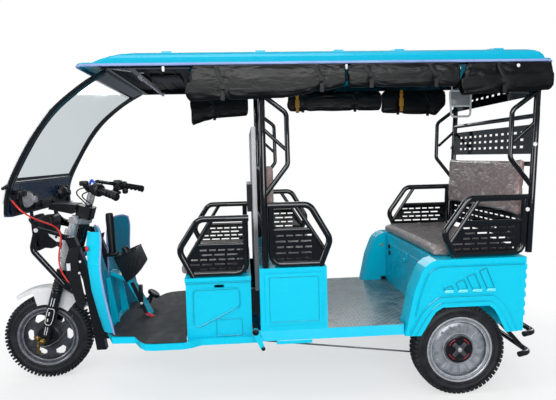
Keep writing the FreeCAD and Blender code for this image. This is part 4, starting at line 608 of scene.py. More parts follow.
def close_mesh():
    bpy.ops.object.mode_set(mode="OBJECT")


def select_faces(obj, test):
    """In edit mode, selects the faces whose centre and normal pass a test."""
    shape = bmesh.from_edit_mesh(obj.data)
    bpy.context.tool_settings.mesh_select_mode = (False, False, True)
    for face in shape.faces:
        face.select = test(face.calc_center_median(), face.normal)
    shape.select_flush(True)
    bmesh.update_edit_mesh(obj.data)


def place_kept(obj):
    """Puts the object's own place, turn and size into its mesh."""
    only(obj)
    bpy.ops.object.transform_apply(location=True, rotation=True, scale=True)


def joined(parts):
    """Several mesh objects as one."""
    bpy.ops.object.select_all(action="DESELECT")
    for part in parts:
        part.select_set(True)
    bpy.context.view_layer.objects.active = parts[0]
    bpy.ops.object.join()
    return bpy.context.object


def done(obj, name, finish, body, smooth=35):
    """Names a piece, or joins several as one, dresses it and lets it ride on its body."""
    if isinstance(obj, list):
        obj = joined(obj)
    place_kept(obj)
    obj.name = name
    obj.data.name = name
    obj.data.materials.clear()
    obj.data.materials.append(finish)
    if smooth:
        bpy.ops.object.shade_smooth_by_angle(angle=math.radians(smooth))
    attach(obj, body)
    print(name, len(obj.data.polygons), "faces")
    return obj


def applied(obj, kind, **settings):
    """Adds a modifier and applies it."""
    only(obj)
    modifier = obj.modifiers.new(kind.title(), kind)
    for key, value in settings.items():
        setattr(modifier, key, value)
    bpy.ops.object.modifier_apply(modifier=modifier.name)
    return obj


# %% [markdown]
# A modelled piece starts from a box with rounded edges, or from a row of points that is
# extruded one point after another.

# %% Blocks and traced rows
MERGE = 0.00002      # metres: points nearer than this become one


def block(low, high, bevel=0.002, segments=2):
    """A box between two corners with rounded edges."""
    low, high = Vector(low), Vector(high)
    bpy.ops.object.select_all(action="DESELECT")
    bpy.ops.mesh.primitive_cube_add(size=1, location=(low + high) / 2)
    obj = bpy.context.object
    obj.scale = high - low
    place_kept(obj)
    if bevel:
        open_mesh(obj)
        bpy.ops.mesh.bevel(offset=bevel, segments=segments, affect="EDGES")
        close_mesh()
    return obj


def faces_out():
    """In edit mode, turns all faces outwards."""
    bpy.ops.mesh.select_all(action="SELECT")
    bpy.ops.mesh.normals_make_consistent(inside=False)


def traced(spots):
    """Extrudes one point from place to place; the row stays open in edit mode."""
    bpy.ops.object.select_all(action="DESELECT")
    bpy.ops.mesh.primitive_plane_add(size=0.001)
    obj = bpy.context.object
    open_mesh(obj)
    bpy.ops.mesh.merge(type="CENTER")
    bpy.ops.transform.translate(value=spots[0])
    for before, after in zip(spots, spots[1:]):
        bpy.ops.mesh.extrude_region_move(TRANSFORM_OT_translate={"value": after - before})
    return obj


def close_row(obj):
    """In edit mode, joins the two ends of a traced row."""
    shape = bmesh.from_edit_mesh(obj.data)
    for vertex in shape.verts:
        vertex.select = len(vertex.link_edges) == 1
    bmesh.update_edit_mesh(obj.data)
    bpy.ops.mesh.edge_face_add()


# %% [markdown]
# Most round parts are made in one of three ways. A profile is spun round an axis, a finished
# block is copied round it, or a round bar is drawn along a few points as a curve.

# %% Turned, repeated and bent bars
def turned(profile, centre, axis=(0, 1, 0), rise=(0, 0, 1), turns=64, closed=True):
    """Traces a profile of (along, radius) and spins it round an axis."""
    centre, axis, rise = Vector(centre), Vector(axis).normalized(), Vector(rise).normalized()
    obj = traced([centre + axis * along + rise * radius for along, radius in profile])
    if closed:
        close_row(obj)
    bpy.ops.mesh.select_all(action="SELECT")
    bpy.ops.mesh.spin(steps=turns, angle=2 * math.pi, center=centre, axis=axis)
    bpy.ops.mesh.select_all(action="SELECT")
    bpy.ops.mesh.remove_doubles(threshold=MERGE)
    faces_out()
    close_mesh()
    return obj


def repeated(obj, count, centre, axis=(0, 1, 0)):
    """Copies a mesh round an axis, as a spin with copies does."""
    open_mesh(obj)
    bpy.ops.mesh.spin(steps=count, dupli=True, angle=2 * math.pi, center=centre, axis=axis)
    bpy.ops.mesh.select_all(action="SELECT")
    bpy.ops.mesh.remove_doubles(threshold=MERGE)
    close_mesh()
    return obj


def bent(points, radius, closed=False, kind="POLY", sides=4):
    """A round bar along points, made as a curve and then turned into a mesh."""
    bpy.ops.object.select_all(action="DESELECT")
    bpy.ops.curve.primitive_nurbs_path_add()
    obj = bpy.context.object
    obj.location = (0, 0, 0)
    curve = obj.data
    curve.splines.clear()
    line = curve.splines.new(kind)
    line.points.add(len(points) - 1)
    for spot, place in zip(line.points, points):
        spot.co = (*place, 1)
    line.use_cyclic_u = closed
    if kind == "NURBS":
        line.order_u = 3
        line.use_endpoint_u = not closed
        line.resolution_u = 8
    curve.dimensions = "3D"
    curve.bevel_depth = radius
    curve.bevel_resolution = sides
    curve.use_fill_caps = True
    only(obj)
    bpy.ops.object.convert(target="MESH")
    return bpy.context.object


# %% [markdown]
# Flat parts start as an outline that is filled and pushed out. A button is a low dome for
# the head of a bolt, and a pin is a round bar that may swell on its way.

# %% Plates, buttons and pins
def plate(corners, depth, round_by=0.0, edge=0.0, segments=4):
    """An outline traced point by point, filled, rounded at its corners and pushed out."""
    obj = traced([Vector(corner) for corner in corners])
    close_row(obj)
    bpy.ops.mesh.select_all(action="SELECT")
    bpy.ops.mesh.edge_face_add()
    if round_by:
        bpy.ops.mesh.select_all(action="SELECT")
        bpy.ops.mesh.bevel(offset=round_by, segments=segments, affect="VERTICES")
    bpy.ops.mesh.select_all(action="SELECT")
    bpy.ops.mesh.extrude_region_move(TRANSFORM_OT_translate={"value": Vector(depth)})
    if edge:
        bpy.ops.mesh.bevel(offset=edge, segments=2, affect="EDGES")
    faces_out()
    close_mesh()
    return obj


def side_plate(corners, y, thick, round_by=0.0, edge=0.0, segments=4):
    """A plate whose outline is a row of (x, z), that stands along the vehicle."""
    return plate([(x, y, z) for x, z in corners], (0, thick, 0), round_by, edge, segments)


def button(centre, axis, radius, high, turns=20):
    """A low dome, such as a bolt's head, that stands on its centre along an axis."""
    axis = Vector(axis).normalized()
    profile = [(0, 0), (0, radius), (high * 0.5, radius * 0.97), (high * 0.88, radius * 0.68),
               (high, 0)]
    return turned(profile, centre, axis, axis.orthogonal(), turns, closed=False)


def pin(start, end, radius, fat=0.001, turns=20, swell=()):
    """A round bar between two places; swell adds (share, radius) steps on the way."""
    start, end = Vector(start), Vector(end)
    long = (end - start).length
    middle = [(long * share, wide) for share, wide in swell]
    profile = [(0, 0), (0, radius - fat), (fat, radius)] + middle
    profile += [(long - fat, radius), (long, radius - fat), (long, 0)]
    axis = (end - start).normalized()
    return turned(profile, start, axis, axis.orthogonal(), turns, closed=False)


# %% [markdown]
# Two helpers work on rows of points: one rounds the corners, the other mirrors the row.

# %% Rows of points
def softened(corners, radius, closed=True, cuts=4):
    """The same row of points with each corner swapped for a few points round it."""
    spots, count = [], len(corners)
    for index, corner in enumerate(corners):
        corner = Vector(corner)
        if not closed and index in (0, count - 1):
            spots.append(corner)
            continue
        before = Vector(corners[index - 1]) - corner
        after = Vector(corners[(index + 1) % count]) - corner
        start = corner + before.normalized() * min(radius, before.length / 2)
        end = corner + after.normalized() * min(radius, after.length / 2)
        for step in range(cuts + 1):
            share = step / cuts
            spots.append(start * (1 - share) ** 2 + corner * 2 * share * (1 - share)
                         + end * share ** 2)
    return spots


def both_sides(points):
    """The row of points on the left, and the same row on the right."""
    return [points, [(x, -y, z) for x, y, z in points]]


# %% [markdown]
# ## Tyres
#
# A tyre is a turned body with thin rings pressed in its wall, and rubber blocks on top. The
# front one has coarse knobs that hang over the shoulder; the rear ones have a finer road
# pattern. One block of each row is modelled at the top of the wheel and then copied round
# by a spin with copies, which keeps every gap equal.

# %% Tyres
def tread_block(centre, reach, long, wide, foot, top_radius, lean=0.0, shrink=0.86):
    """One block on top of the wheel, narrower at its top and leaning a little."""
    x, y, z = centre
    obj = block((x - long / 2, y + reach - wide / 2, z + foot),
                (x + long / 2, y + reach + wide / 2, z + top_radius), 0)
    open_mesh(obj, False)
    select_faces(obj, lambda spot, normal: normal.z > 0.9)
    bpy.ops.transform.resize(value=(shrink, shrink, 1))
    if lean:
        bpy.ops.transform.translate(value=(lean, 0, 0))
    bpy.ops.mesh.select_all(action="SELECT")
    bpy.ops.mesh.bevel(offset=0.001, segments=1, affect="EDGES")
    close_mesh()
    return obj


def tyre(name, node_name, body, centre, radius, half, rows, depth):
    """A carcass with pressed rings and rows of (reach, count, long, wide, lean, foot) blocks."""
    crown = radius - depth
    side = [(half - 0.010, 0.1524), (half - 0.0035, 0.157), (half - 0.001, 0.166),
            (half - 0.0002, 0.176), (half + 0.0012, 0.1775), (half + 0.0012, 0.180),
            (half - 0.0002, 0.1815), (half, 0.196), (half + 0.001, 0.1975),
            (half + 0.001, 0.1995), (half - 0.001, 0.201), (half - 0.004, crown - 0.013),
            (half - 0.012, crown - 0.004), (half - 0.024, crown)]
    carcass = turned(side + [(-along, rise) for along, rise in reversed(side)], centre, turns=96)
    parts = [carcass]
    for reach, count, long, wide, lean, foot in rows:
        top_radius = radius - 0.0006 - abs(reach) * 0.06
        one = tread_block(centre, reach, long, wide, foot, top_radius, lean)
        parts.append(repeated(one, count, centre))
    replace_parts(done(parts, name, tyre_rubber, body), node_name)


FRONT_HUB = (-1.211, 0.0, 0.240)
REAR_HUBS = {"left": (0.986, -0.464, 0.234), "right": (0.986, 0.464, 0.234)}
FRONT_ROWS = [(0.0335, 68, 0.0135, 0.019, 0.001, 0.216),
              (-0.0335, 68, 0.0135, 0.019, 0.001, 0.216),
              (0.0105, 48, 0.019, 0.015, 0.003, 0.226),
              (-0.0105, 48, 0.019, 0.015, -0.003, 0.226)]
REAR_ROWS = [(0.0345, 60, 0.0205, 0.018, 0.0015, 0.214),
             (-0.0345, 60, 0.0205, 0.018, 0.0015, 0.214),
             (0.0155, 60, 0.0185, 0.015, -0.002, 0.223),
             (-0.0155, 60, 0.0185, 0.015, 0.002, 0.223),
             (0.0, 60, 0.020, 0.010, 0.0, 0.223)]
tyre("front_tyre_tread", "front_tyre", "front_wheel", FRONT_HUB, 0.240, 0.042, FRONT_ROWS, 0.010)
for word, hub in REAR_HUBS.items():
    tyre("rear_%s_tyre_tread" % word, "rear_%s_tyre" % word, "rear_%s_wheel" % word, hub,
         0.234, 0.044, REAR_ROWS, 0.006)


# %% [markdown]
# ## Wheel fittings
#
# The front rim is dark with bright rolled flanges, and a brake drum shows behind it. The
# rear rims carry a dark round cover with a four-armed cap, four red arcs and a chrome
# centre. These are round, so a traced profile that is spun once gives each its true
# section; only the arms are blocks, turned about the hub.

# %% Front wheel fittings
def ring_profile(inner, outer, near, far, fat=0.003):
    """A flat ring with a soft outer edge, from near to far along the axle."""
    return [(near, inner), (far - fat, inner), (far, inner + fat), (far, outer - fat),
            (far - fat, outer), (near, outer)]


for word, sign in (("left", -1), ("right", 1)):
    rings = [turned([(sign * along, radius) for along, radius in ring_profile(*sizes)], FRONT_HUB)
             for sizes in ((0.1570, 0.1702, 0.0380, 0.0432), (0.1380, 0.1475, 0.0300, 0.0352))]
    done(rings, "front_rim_rings_" + word, rim_steel, "front_wheel")
drum = turned([(-0.0385, 0.0115), (-0.0425, 0.0125), (-0.0425, 0.040), (-0.0405, 0.046),
               (-0.0405, 0.056), (-0.0385, 0.060)], FRONT_HUB, closed=True)
done(drum, "front_drum_plate", fork_paint, "front_wheel")

# %% Rear wheel fittings
def rear_fittings(word, sign):
    centre = Vector(REAR_HUBS[word])
    body = "rear_%s_wheel" % word

    def out(profile):
        return [(sign * along, radius) for along, radius in profile]

    rings = [turned(out(ring_profile(*sizes)), centre)
             for sizes in ((0.1590, 0.1702, 0.0400, 0.0450), (0.1420, 0.1500, 0.0350, 0.0392),
                           (0.0790, 0.0830, 0.0312, 0.0332))]
    done(rings, "rear_rim_rings_" + word, bright_metal, body)
    cover = turned(out([(0.0338, 0.0), (0.0372, 0.0), (0.0378, 0.030), (0.0372, 0.052),
                        (0.0390, 0.056), (0.0390, 0.066), (0.0368, 0.070), (0.0338, 0.070)]),
                   centre, closed=False)
    done(cover, "hub_cover_" + word, fork_paint, body)
    arms = []
    near, far = sorted((sign * 0.0375, sign * 0.0455))
    for turn in (45, 135, 225, 315):
        arm = block(centre + Vector((-0.011, near, 0.006)), centre + Vector((0.011, far, 0.046)),
                    0.003)
        open_mesh(arm)
        bpy.ops.transform.rotate(value=math.radians(turn), orient_axis="Y", center_override=centre)
        close_mesh()
        arms.append(arm)
    boss = turned(out([(0.0375, 0.0), (0.0475, 0.0), (0.0475, 0.016), (0.0455, 0.021),
                       (0.0375, 0.021)]), centre, turns=32, closed=False)
    done(arms + [boss], "hub_cap_" + word, wheel_dark, body)
    arcs = []
    for turn in (0, 90, 180, 270):
        spots = []
        for step in range(9):
            angle = math.radians(turn + 45 - 21 + 42 * step / 8)
            spots.append(centre + Vector((math.sin(angle) * 0.0555, sign * 0.0392,
                                          math.cos(angle) * 0.0555)))
        arcs.append(bent(spots, 0.0017, sides=1))
    done(arcs, "hub_arcs_" + word, marking_red, body)
    badge = turned(out([(0.0476, 0.0), (0.0496, 0.0), (0.0496, 0.009), (0.0486, 0.011),
                        (0.0476, 0.011)]), centre, turns=32, closed=False)
    done(badge, "hub_centre_" + word, bright_metal, body)


rear_fittings("left", -1)
rear_fittings("right", 1)


# %% [markdown]
# ## Stuffed seats
#
# A seat pad is foam under a tight skin, so its faces crown and its corners pull in. A
# rounded box would look like a brick. So a slightly smaller box is remeshed to an even grid,
# blown up a little as cloth and held within a cap. Then soft wrinkles are pushed into it. A
# seat is flattened where it rests, and a backrest is kept within its own thickness.

# %% Seat helpers
def blown(obj, pressure, cap, frames=14):
    """Inflates a closed mesh as cloth and keeps each point within a cap of where it was."""
    start = [vertex.co.copy() for vertex in obj.data.vertices]
    only(obj)
    cloth = obj.modifiers.new("Skin", "CLOTH")
    cloth.settings.use_pressure = True
    cloth.settings.uniform_pressure_force = pressure
    cloth.settings.effector_weights.gravity = 0
    cloth.settings.tension_stiffness = 25
    cloth.settings.bending_stiffness = 2
    cloth.settings.quality = 4
    scene = bpy.context.scene
    for number in range(1, frames + 1):
        scene.frame_set(number)
    bpy.ops.object.modifier_apply(modifier=cloth.name)
    scene.frame_set(1)
    for vertex, before in zip(obj.data.vertices, start):
        move = vertex.co - before
        if move.length > cap:
            vertex.co = before + move.normalized() * cap


def seat_pad(name, node_name, body, inset, lean=0.0, flat="z", voxel=0.008, seed=1):
    """A stuffed pad in a CAD pad's box, with a soft crown and shallow wrinkles."""
    low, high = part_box(node_name)
    low, high = low.copy(), high.copy()
    if lean:
        high.x -= lean
    edge = Vector((inset, inset, inset))
    obj = block(low + edge, high - edge, 0.012, 3)
    applied(obj, "REMESH", mode="VOXEL", voxel_size=voxel)
    blown(obj, pressure=2.6, cap=0.011)
    tall = (high - low).z
    for vertex in obj.data.vertices:
        spot = vertex.co
        ripple = noise.noise(Vector((spot.x * 9 + seed, spot.y * 5, spot.z * 9)))
        fine = noise.noise(Vector((spot.x * 31, spot.y * 19 + seed, spot.z * 31)))
        lift = 0.0032 * ripple + 0.0016 * fine
        if flat == "z":
            share = (spot.z - low.z) / tall
            spot.z = max(low.z + 0.0002, spot.z + lift * share)
            spot.z = min(spot.z, high.z + 0.006)
        else:
            spot.x = min(max(spot.x + lift, low.x), high.x)
        spot.y = min(max(spot.y, low.y - 0.003), high.y + 0.003)
        if lean:
            spot.x += lean * (spot.z - low.z) / tall
    finish = back_vinyl if flat == "x" else seat_vinyl
    obj = done(obj, name, finish, body, 0)
    only(obj)
    bpy.ops.object.shade_smooth()
    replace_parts(obj, node_name)


# %% Seats
seat_pad("driver_seat_pad", "driver_cushion", "driver_lid", 0.006, seed=1)
seat_pad("rear_seat_pad", "rear_cushion", "rear_lid", 0.006, seed=2)
seat_pad("middle_seat_pad", "middle_cushion", "chassis", 0.006, seed=3)
seat_pad("middle_back_pad", "middle_backrest", "chassis", 0.005, flat="x", seed=4)
seat_pad("rear_back_pad", "rear_backrest", "chassis", 0.005, lean=0.012, flat="x", seed=5)


# %% [markdown]
# ## Rolled curtains
#
# Each side has three curtains, wound up and strapped under the roof's edge. A roll is never
# an even tube: it sags between its straps, is nipped in under each one, and its skin is
# pulled into lengthwise folds. A cloth simulation of a wound sheet would take minutes and is
# hard to steer. So a cylinder is stretched to the roll's length and cut into many rings, and
# each of its points is then pushed by its place along the roll and round it.

# %% Curtain helpers
ROLL_IN, ROLL_OUT, ROLL_TOP = 0.4975, 0.5385, 1.6535
ROLL_MIDDLE = (ROLL_IN + ROLL_OUT) / 2
RING_STEP, STRAP_REACH, FAN_REACH = 0.006, 0.020, 0.085


def between(points, place):
    """The height on a row of (place, height) points, straight from one to the next."""
    for (x0, z0), (x1, z1) in zip(points, points[1:]):
        if place <= x1:
            return z0 + (z1 - z0) * max(0.0, (place - x0) / (x1 - x0))
    return points[-1][1]


def near_to(value, spot, wide):
    """1 at a spot, falling softly to 0 some way off."""
    return math.exp(-((value - spot) / wide) ** 2)


def clamped(value):
    return max(0.0, min(1.0, value))


def squarish(around):
    """The way out at an angle, on a square with very round corners."""
    wide, rise = math.cos(around), math.sin(around)
    square = (abs(wide) ** 3 + abs(rise) ** 3) ** (-1 / 3)
    return wide, rise, square


# %% Folds and straps
def fold_height(x, level, folds, middle, fan, seed):
    """How far the skin stands out in its lengthwise folds, drawn together at a strap."""
    bulge = 0.0
    for height, drift, depth in folds:
        wander = 0.05 * noise.noise(Vector((x * 6, height * 9, seed)))
        line = height + drift * (x - middle) + wander
        line = 0.42 + (line - 0.42) * (1 - 0.45 * fan)
        offset = (level - line) / 0.055
        bulge += 1.3 * depth * math.exp(-abs(offset) ** 1.5)
    return bulge


def strap_parts(side, strap, low_z):
    """A flat band round the roll, its loose tail and its buckle."""
    y, face = side * 0.518, side * 0.539
    middle = Vector((strap, y, (low_z + ROLL_TOP) / 2))
    spots = []
    for step in range(32):
        around = 2 * math.pi * step / 32
        wide, rise, square = squarish(around)
        spots.append((strap + 0.003 * math.sin(2 * around), y + 0.0200 * square * wide,
                      middle.z + (ROLL_TOP - low_z) / 2 * square * rise))
    band = bent(spots, 0.0016, closed=True, sides=1)
    open_mesh(band)
    bpy.ops.transform.resize(value=(8.0, 1, 1), center_override=middle)
    close_mesh()
    tail = block((strap - 0.010, face - 0.0015, low_z - 0.012),
                 (strap + 0.010, face + 0.0008, low_z + 0.030), 0.0008, 1)
    buckle = block((strap - 0.0155, side * 0.5385 - 0.002, low_z + 0.040),
                   (strap + 0.0155, side * 0.5385 + 0.0015, low_z + 0.062), 0.0012, 1)
    return [band, tail, buckle]


# %% One curtain
def curtain(name, side, low_edge, straps, folds, seed, front_step=0.0, lobe=0.0):
    """One strapped roll. low_edge is a row of (x, z), and folds are (height, drift, depth).

    front_step moves the upper half's front end back, where the roll shows two windings,
    and lobe thins the upper half so that the lower winding stands out.
    """
    x0, x1 = low_edge[0][0], low_edge[-1][0]
    middle = (x0 + x1) / 2
    bpy.ops.object.select_all(action="DESELECT")
    bpy.ops.mesh.primitive_cylinder_add(vertices=64, radius=1, depth=1, end_fill_type="TRIFAN",
                                        rotation=(0, math.pi / 2, 0))
    obj = bpy.context.object
    place_kept(obj)
    open_mesh(obj, False)
    shape = bmesh.from_edit_mesh(obj.data)
    long_edges = [edge for edge in shape.edges
                  if abs(edge.verts[0].co.x - edge.verts[1].co.x) > 0.5]
    bmesh.ops.subdivide_edges(shape, edges=long_edges, cuts=int((x1 - x0) / RING_STEP),
                              use_grid_fill=True)
    bmesh.update_edit_mesh(obj.data)
    close_mesh()
    for vertex in obj.data.vertices:
        x = x0 + (x1 - x0) * (vertex.co.x + 0.5)
        reach = min(1.0, math.hypot(vertex.co.y, vertex.co.z))
        wide, rise, square = squarish(math.atan2(vertex.co.z, vertex.co.y))
        grip = max(near_to(x, strap, STRAP_REACH) for strap in straps)
        fan = max(near_to(x, strap, FAN_REACH) for strap in straps)
        low_z = between(low_edge, x) + 0.004 + 0.010 * grip
        low_z += 0.004 * noise.noise(Vector((x * 8, seed, 0)))
        level = 0.5 + 0.5 * rise * square * reach
        z = low_z + (ROLL_TOP - low_z) * level
        half = (ROLL_OUT - ROLL_IN) / 2 * (0.80 + 0.20 * near_to(level, 0.38, 0.34))
        half *= 1 - 0.22 * grip
        half *= 1 - lobe * clamped((level - 0.56) / 0.10)
        bulge = fold_height(x, level, folds, middle, fan, seed)
        bulge += 0.0016 * fan * math.sin(34 * level + 60 * (x - x0))
        bulge += 0.0026 * noise.noise(Vector((x * 9, level * 7, seed)))
        bulge += 0.0009 * noise.noise(Vector((x * 34 + level * 20, level * 14, seed + 9)))
        hem = 0.0012 if min(x - x0, x1 - x) < 0.022 else 0.0
        skin = math.copysign(bulge + hem - 0.0022, wide) * min(1, abs(wide) * 2.5)
        y = side * ROLL_MIDDLE + (half * square * wide + skin) * reach
        y = side * min(max(abs(y), ROLL_IN), ROLL_OUT)
        x += front_step * clamped((level - 0.50) / 0.06) * math.exp(-(x - x0) / 0.06)
        x = middle + (x - middle) * (1 - 0.030 / (x1 - x0) * abs(2 * level - 1) ** 5)
        if x - x0 < 0.05:
            x += 0.004 * math.sin(9 * level + seed)
        vertex.co = Vector((x, y, min(z, ROLL_TOP)))
    open_mesh(obj)
    faces_out()
    close_mesh()
    obj = done(obj, name, curtain_cloth, "chassis", 0)
    only(obj)
    bpy.ops.object.shade_smooth()
    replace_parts(obj, "curtain_rolls")
    bands = []
    for strap in straps:
        bands += strap_parts(side, strap, between(low_edge, strap) + 0.010)
    done(bands, name + "_straps", strap_web, "chassis", 40)


# %% Curtains
LONG_FOLDS = ((0.20, 0.05, 0.0050), (0.40, -0.08, 0.0062), (0.62, 0.10, 0.0050),
              (0.84, -0.06, 0.0040))
SHORT_FOLDS = ((0.30, -0.10, 0.0046), (0.58, 0.16, 0.0050), (0.80, 0.05, 0.0038))
CROSS_FOLDS = ((0.10, 0.25, 0.0060), (0.34, 0.55, 0.0090), (0.60, -0.55, 0.0085),
               (0.84, 0.45, 0.0060))
curtain("curtain_near_front", -1, [(-0.328, 1.489), (0.119, 1.496), (0.414, 1.542)],
        (-0.162, 0.300), LONG_FOLDS, 3, 0.028)
curtain("curtain_near_middle", -1, [(0.428, 1.540), (0.964, 1.540)], (0.536, 0.847),
        SHORT_FOLDS, 5)
curtain("curtain_near_rear", -1, [(0.974, 1.496), (1.428, 1.514)], (1.182,),
        CROSS_FOLDS, 8, 0.030, 0.55)
curtain("curtain_far_front", 1,
        [(-0.413, 1.446), (-0.340, 1.468), (-0.220, 1.490), (-0.032, 1.500)], (-0.260,),
        SHORT_FOLDS, 11)
curtain("curtain_far_middle", 1, [(0.236, 1.524), (0.873, 1.522)], (0.340, 0.700),
        LONG_FOLDS, 14)
curtain("curtain_far_rear", 1, [(0.882, 1.504), (1.269, 1.482), (1.321, 1.534)],
        (1.000, 1.210), CROSS_FOLDS, 17)


# %% [markdown]
# ## Trim on edges
#
# A lilac plastic bead is pressed on the roof's lip and on the leg shield's free edges. It
# could be shaped from the sheet's own edge, but the CAD mesh stays as it is. So it is a thin
# round bar along a curve: a level loop with round corners for the roof, and for the shield
# a row of points that follow its edge.

# %% Roof bead
def rounded_loop(x0, x1, half, corner, z):
    """Points of a level rounded rectangle."""
    spots = []
    for cx, cy, start in ((x1 - corner, half - corner, 0), (x0 + corner, half - corner, 90),
                          (x0 + corner, corner - half, 180), (x1 - corner, corner - half, 270)):
        for step in range(9):
            angle = math.radians(start + 90 * step / 8)
            spots.append((cx + corner * math.cos(angle), cy + corner * math.sin(angle), z))
    return spots


bead = bent(rounded_loop(-0.8315, 1.4515, 0.5205, 0.0605, 1.661), 0.0062, closed=True, sides=2)
done(bead, "roof_edge_bead", lilac_trim, "chassis")

# %% Leg shield bead
SHIELD_EDGE = [(-0.764, -0.328, 0.334), (-0.781, -0.328, 0.420), (-0.797, -0.328, 0.500),
               (-0.806, -0.328, 0.558), (-0.815, -0.328, 0.630), (-0.819, -0.327, 0.690),
               (-0.813, -0.325, 0.760), (-0.809, -0.322, 0.812), (-0.810, -0.318, 0.843),
               (-0.815, -0.306, 0.872), (-0.832, -0.278, 0.887), (-0.853, -0.235, 0.888),
               (-0.872, -0.192, 0.886), (-0.884, -0.150, 0.871), (-0.891, -0.105, 0.828),
               (-0.888, -0.080, 0.752), (-0.882, -0.060, 0.678), (-0.872, -0.030, 0.620),
               (-0.868, -0.004, 0.566)]
beads = [bent(points, 0.0052, kind="NURBS", sides=2) for points in both_sides(SHIELD_EDGE)]
done(beads, "shield_edge_bead", lilac_trim, "chassis")


# %% [markdown]
# ## Pressed lines in the sheet metal
#
# The seat boxes, doors and rear bodies have shallow pressed borders. Real grooves would
# change the CAD mesh, and bump alone would leave nothing in the shape. What the eye sees is
# a thin light line with a soft shade beside it. So a fine bead of the same paint gives the
# light line, and a still finer, darker one next to it is painted shade, with the groove's dust.

# %% Pressed lines
def pressed_line(name, lines, body, thick=0.0021, shade=0.0026, closed=True):
    """A light bead along each line, and a darker one of painted shade a little lower and further
    back.
    """
    light = [bent(line, thick, closed=closed, sides=1) for line in lines]
    done(light, name, body_paint, body)
    dark = []
    for line in lines:
        line = [Vector(spot) + Vector((shade * 0.8, 0, -shade)) for spot in line]
        dark.append(bent(line, thick * 0.6, closed=closed, sides=1))
    done(dark, name + "_shade", seam_shade_and_dust, body)


def on_side(corners, y, round_by=0.0, closed=True):
    """A row of (x, z) on a side face, softened, on both sides of the vehicle."""
    points = [(x, -y, z) for x, z in corners]
    return both_sides([tuple(spot) for spot in softened(points, round_by, closed)])


BOX_PANEL = [(-0.348, 0.572), (-0.117, 0.574), (-0.115, 0.482), (-0.320, 0.384), (-0.349, 0.392)]
pressed_line("driver_box_border", on_side(BOX_PANEL, 0.4152, 0.018), "chassis")
STEP_PANEL = [(-0.236, 0.332), (-0.236, 0.418), (-0.106, 0.418), (-0.106, 0.332)]
pressed_line("driver_box_step", on_side(STEP_PANEL, 0.4118, 0.006), "chassis", 0.0014, 0.0018)
pressed_line("driver_box_lip", on_side([(-0.384, 0.607), (-0.056, 0.607)], 0.4135, closed=False),
             "chassis", 0.0024, 0.003, closed=False)
DOOR_PANEL = [(0.031, 0.420), (0.031, 0.642), (0.274, 0.642), (0.274, 0.420)]
left_line, right_line = on_side(DOOR_PANEL, 0.5022, 0.004)
pressed_line("left_door_border", [left_line], "left_door", 0.0016)
pressed_line("right_door_border", [right_line], "right_door", 0.0016)


def arch(grow):
    """The wheel arch's outline from front to rear, grown outward."""
    return [(0.781 - grow, 0.330), (0.835 - grow, 0.410 + 0.4 * grow),
            (0.856 - 0.7 * grow, 0.440 + 0.7 * grow), (0.892 - 0.4 * grow, 0.461 + grow),
            (1.130 + 0.4 * grow, 0.461 + grow), (1.155 + 0.7 * grow, 0.440 + 0.7 * grow),
            (1.174 + grow, 0.410 + 0.4 * grow), (1.216 + grow, 0.330)]


pressed_line("arch_outer_line", on_side(arch(0.055), 0.5232, 0.020, False), "chassis",
             0.0026, 0.0034, closed=False)
pressed_line("arch_inner_line", on_side(arch(0.026), 0.5248, 0.020, False), "chassis",
             0.0022, 0.003, closed=False)
BODY_LINE = [(0.751, 0.420), (0.781, 0.540), (0.812, 0.624), (0.832, 0.652), (0.868, 0.668),
             (1.306, 0.668)]
pressed_line("body_border", on_side(BODY_LINE, 0.5250, 0.02, False), "chassis", 0.0018,
             closed=False)



# %% [markdown]
# ## Louvres and rear edge
#
# Four slanted recesses rise along the rear body. The CAD panel has them, so only what
# catches the eye is added: a small ledge at the base of each, in a lighter paint as a painted
# highlight, and a thin dark outline of painted shade where the picture shows it. The body's
# rear corner is notched six times, which six rounded blocks along the edge show well enough.

# %% Louvre ledges and corner notches
LEDGES = ((0.897, 0.946), (0.966, 1.019), (1.039, 1.092), (1.111, 1.160))
LOUVRES = [[(0.897, 0.548), (0.946, 0.548), (0.935, 0.570), (0.895, 0.556)],
           [(0.972, 0.548), (1.018, 0.548), (0.997, 0.599), (0.956, 0.583)],
           [(1.043, 0.548), (1.086, 0.548), (1.051, 0.627), (1.010, 0.612)],
           [(1.116, 0.548), (1.155, 0.548), (1.112, 0.653), (1.076, 0.639)]]


def rear_face(z, x=1.3225):
    """The rear face leans a little: its x at a height."""
    return x - 0.015 * (0.700 - z) / 0.378


ledges = []
for side in (-1, 1):
    for low_x, high_x in LEDGES:
        corners = [(low_x, 0.534), (low_x + 0.006, 0.549), (high_x, 0.549), (high_x - 0.004, 0.534)]
        ledges.append(side_plate(corners, side * 0.5235, side * 0.0062, 0.003, 0.003))
done(ledges, "louvre_ledges", ledge_highlight_paint, "chassis")
# Thin dark lines round the louvres: painted shade.
outlines = [bent(line, 0.0013, closed=True, sides=1)
            for louvre in LOUVRES for line in on_side(louvre, 0.5252, 0.004)]
done(outlines, "louvre_outlines", seam_shade_and_dust, "chassis")
notches = []
for side in (-1, 1):
    for level in range(6):
        z = 0.400 + 0.047 * level
        x, y = rear_face(z), side * 0.494
        notches.append(block((x - 0.006, y - 0.026, z), (x + 0.007, y + 0.026, z + 0.030), 0.005))
done(notches, "rear_edge_steps", body_paint, "chassis")


# %% [markdown]
# ## Windscreen rails
#
# Two black tubes run side by side up each edge of the windscreen, with a clear strip pressed
# on the outside. A tube with an even bend is drawn best as a curve: a few points along the
# screen's edge, a round bevel, and then it is made a mesh.

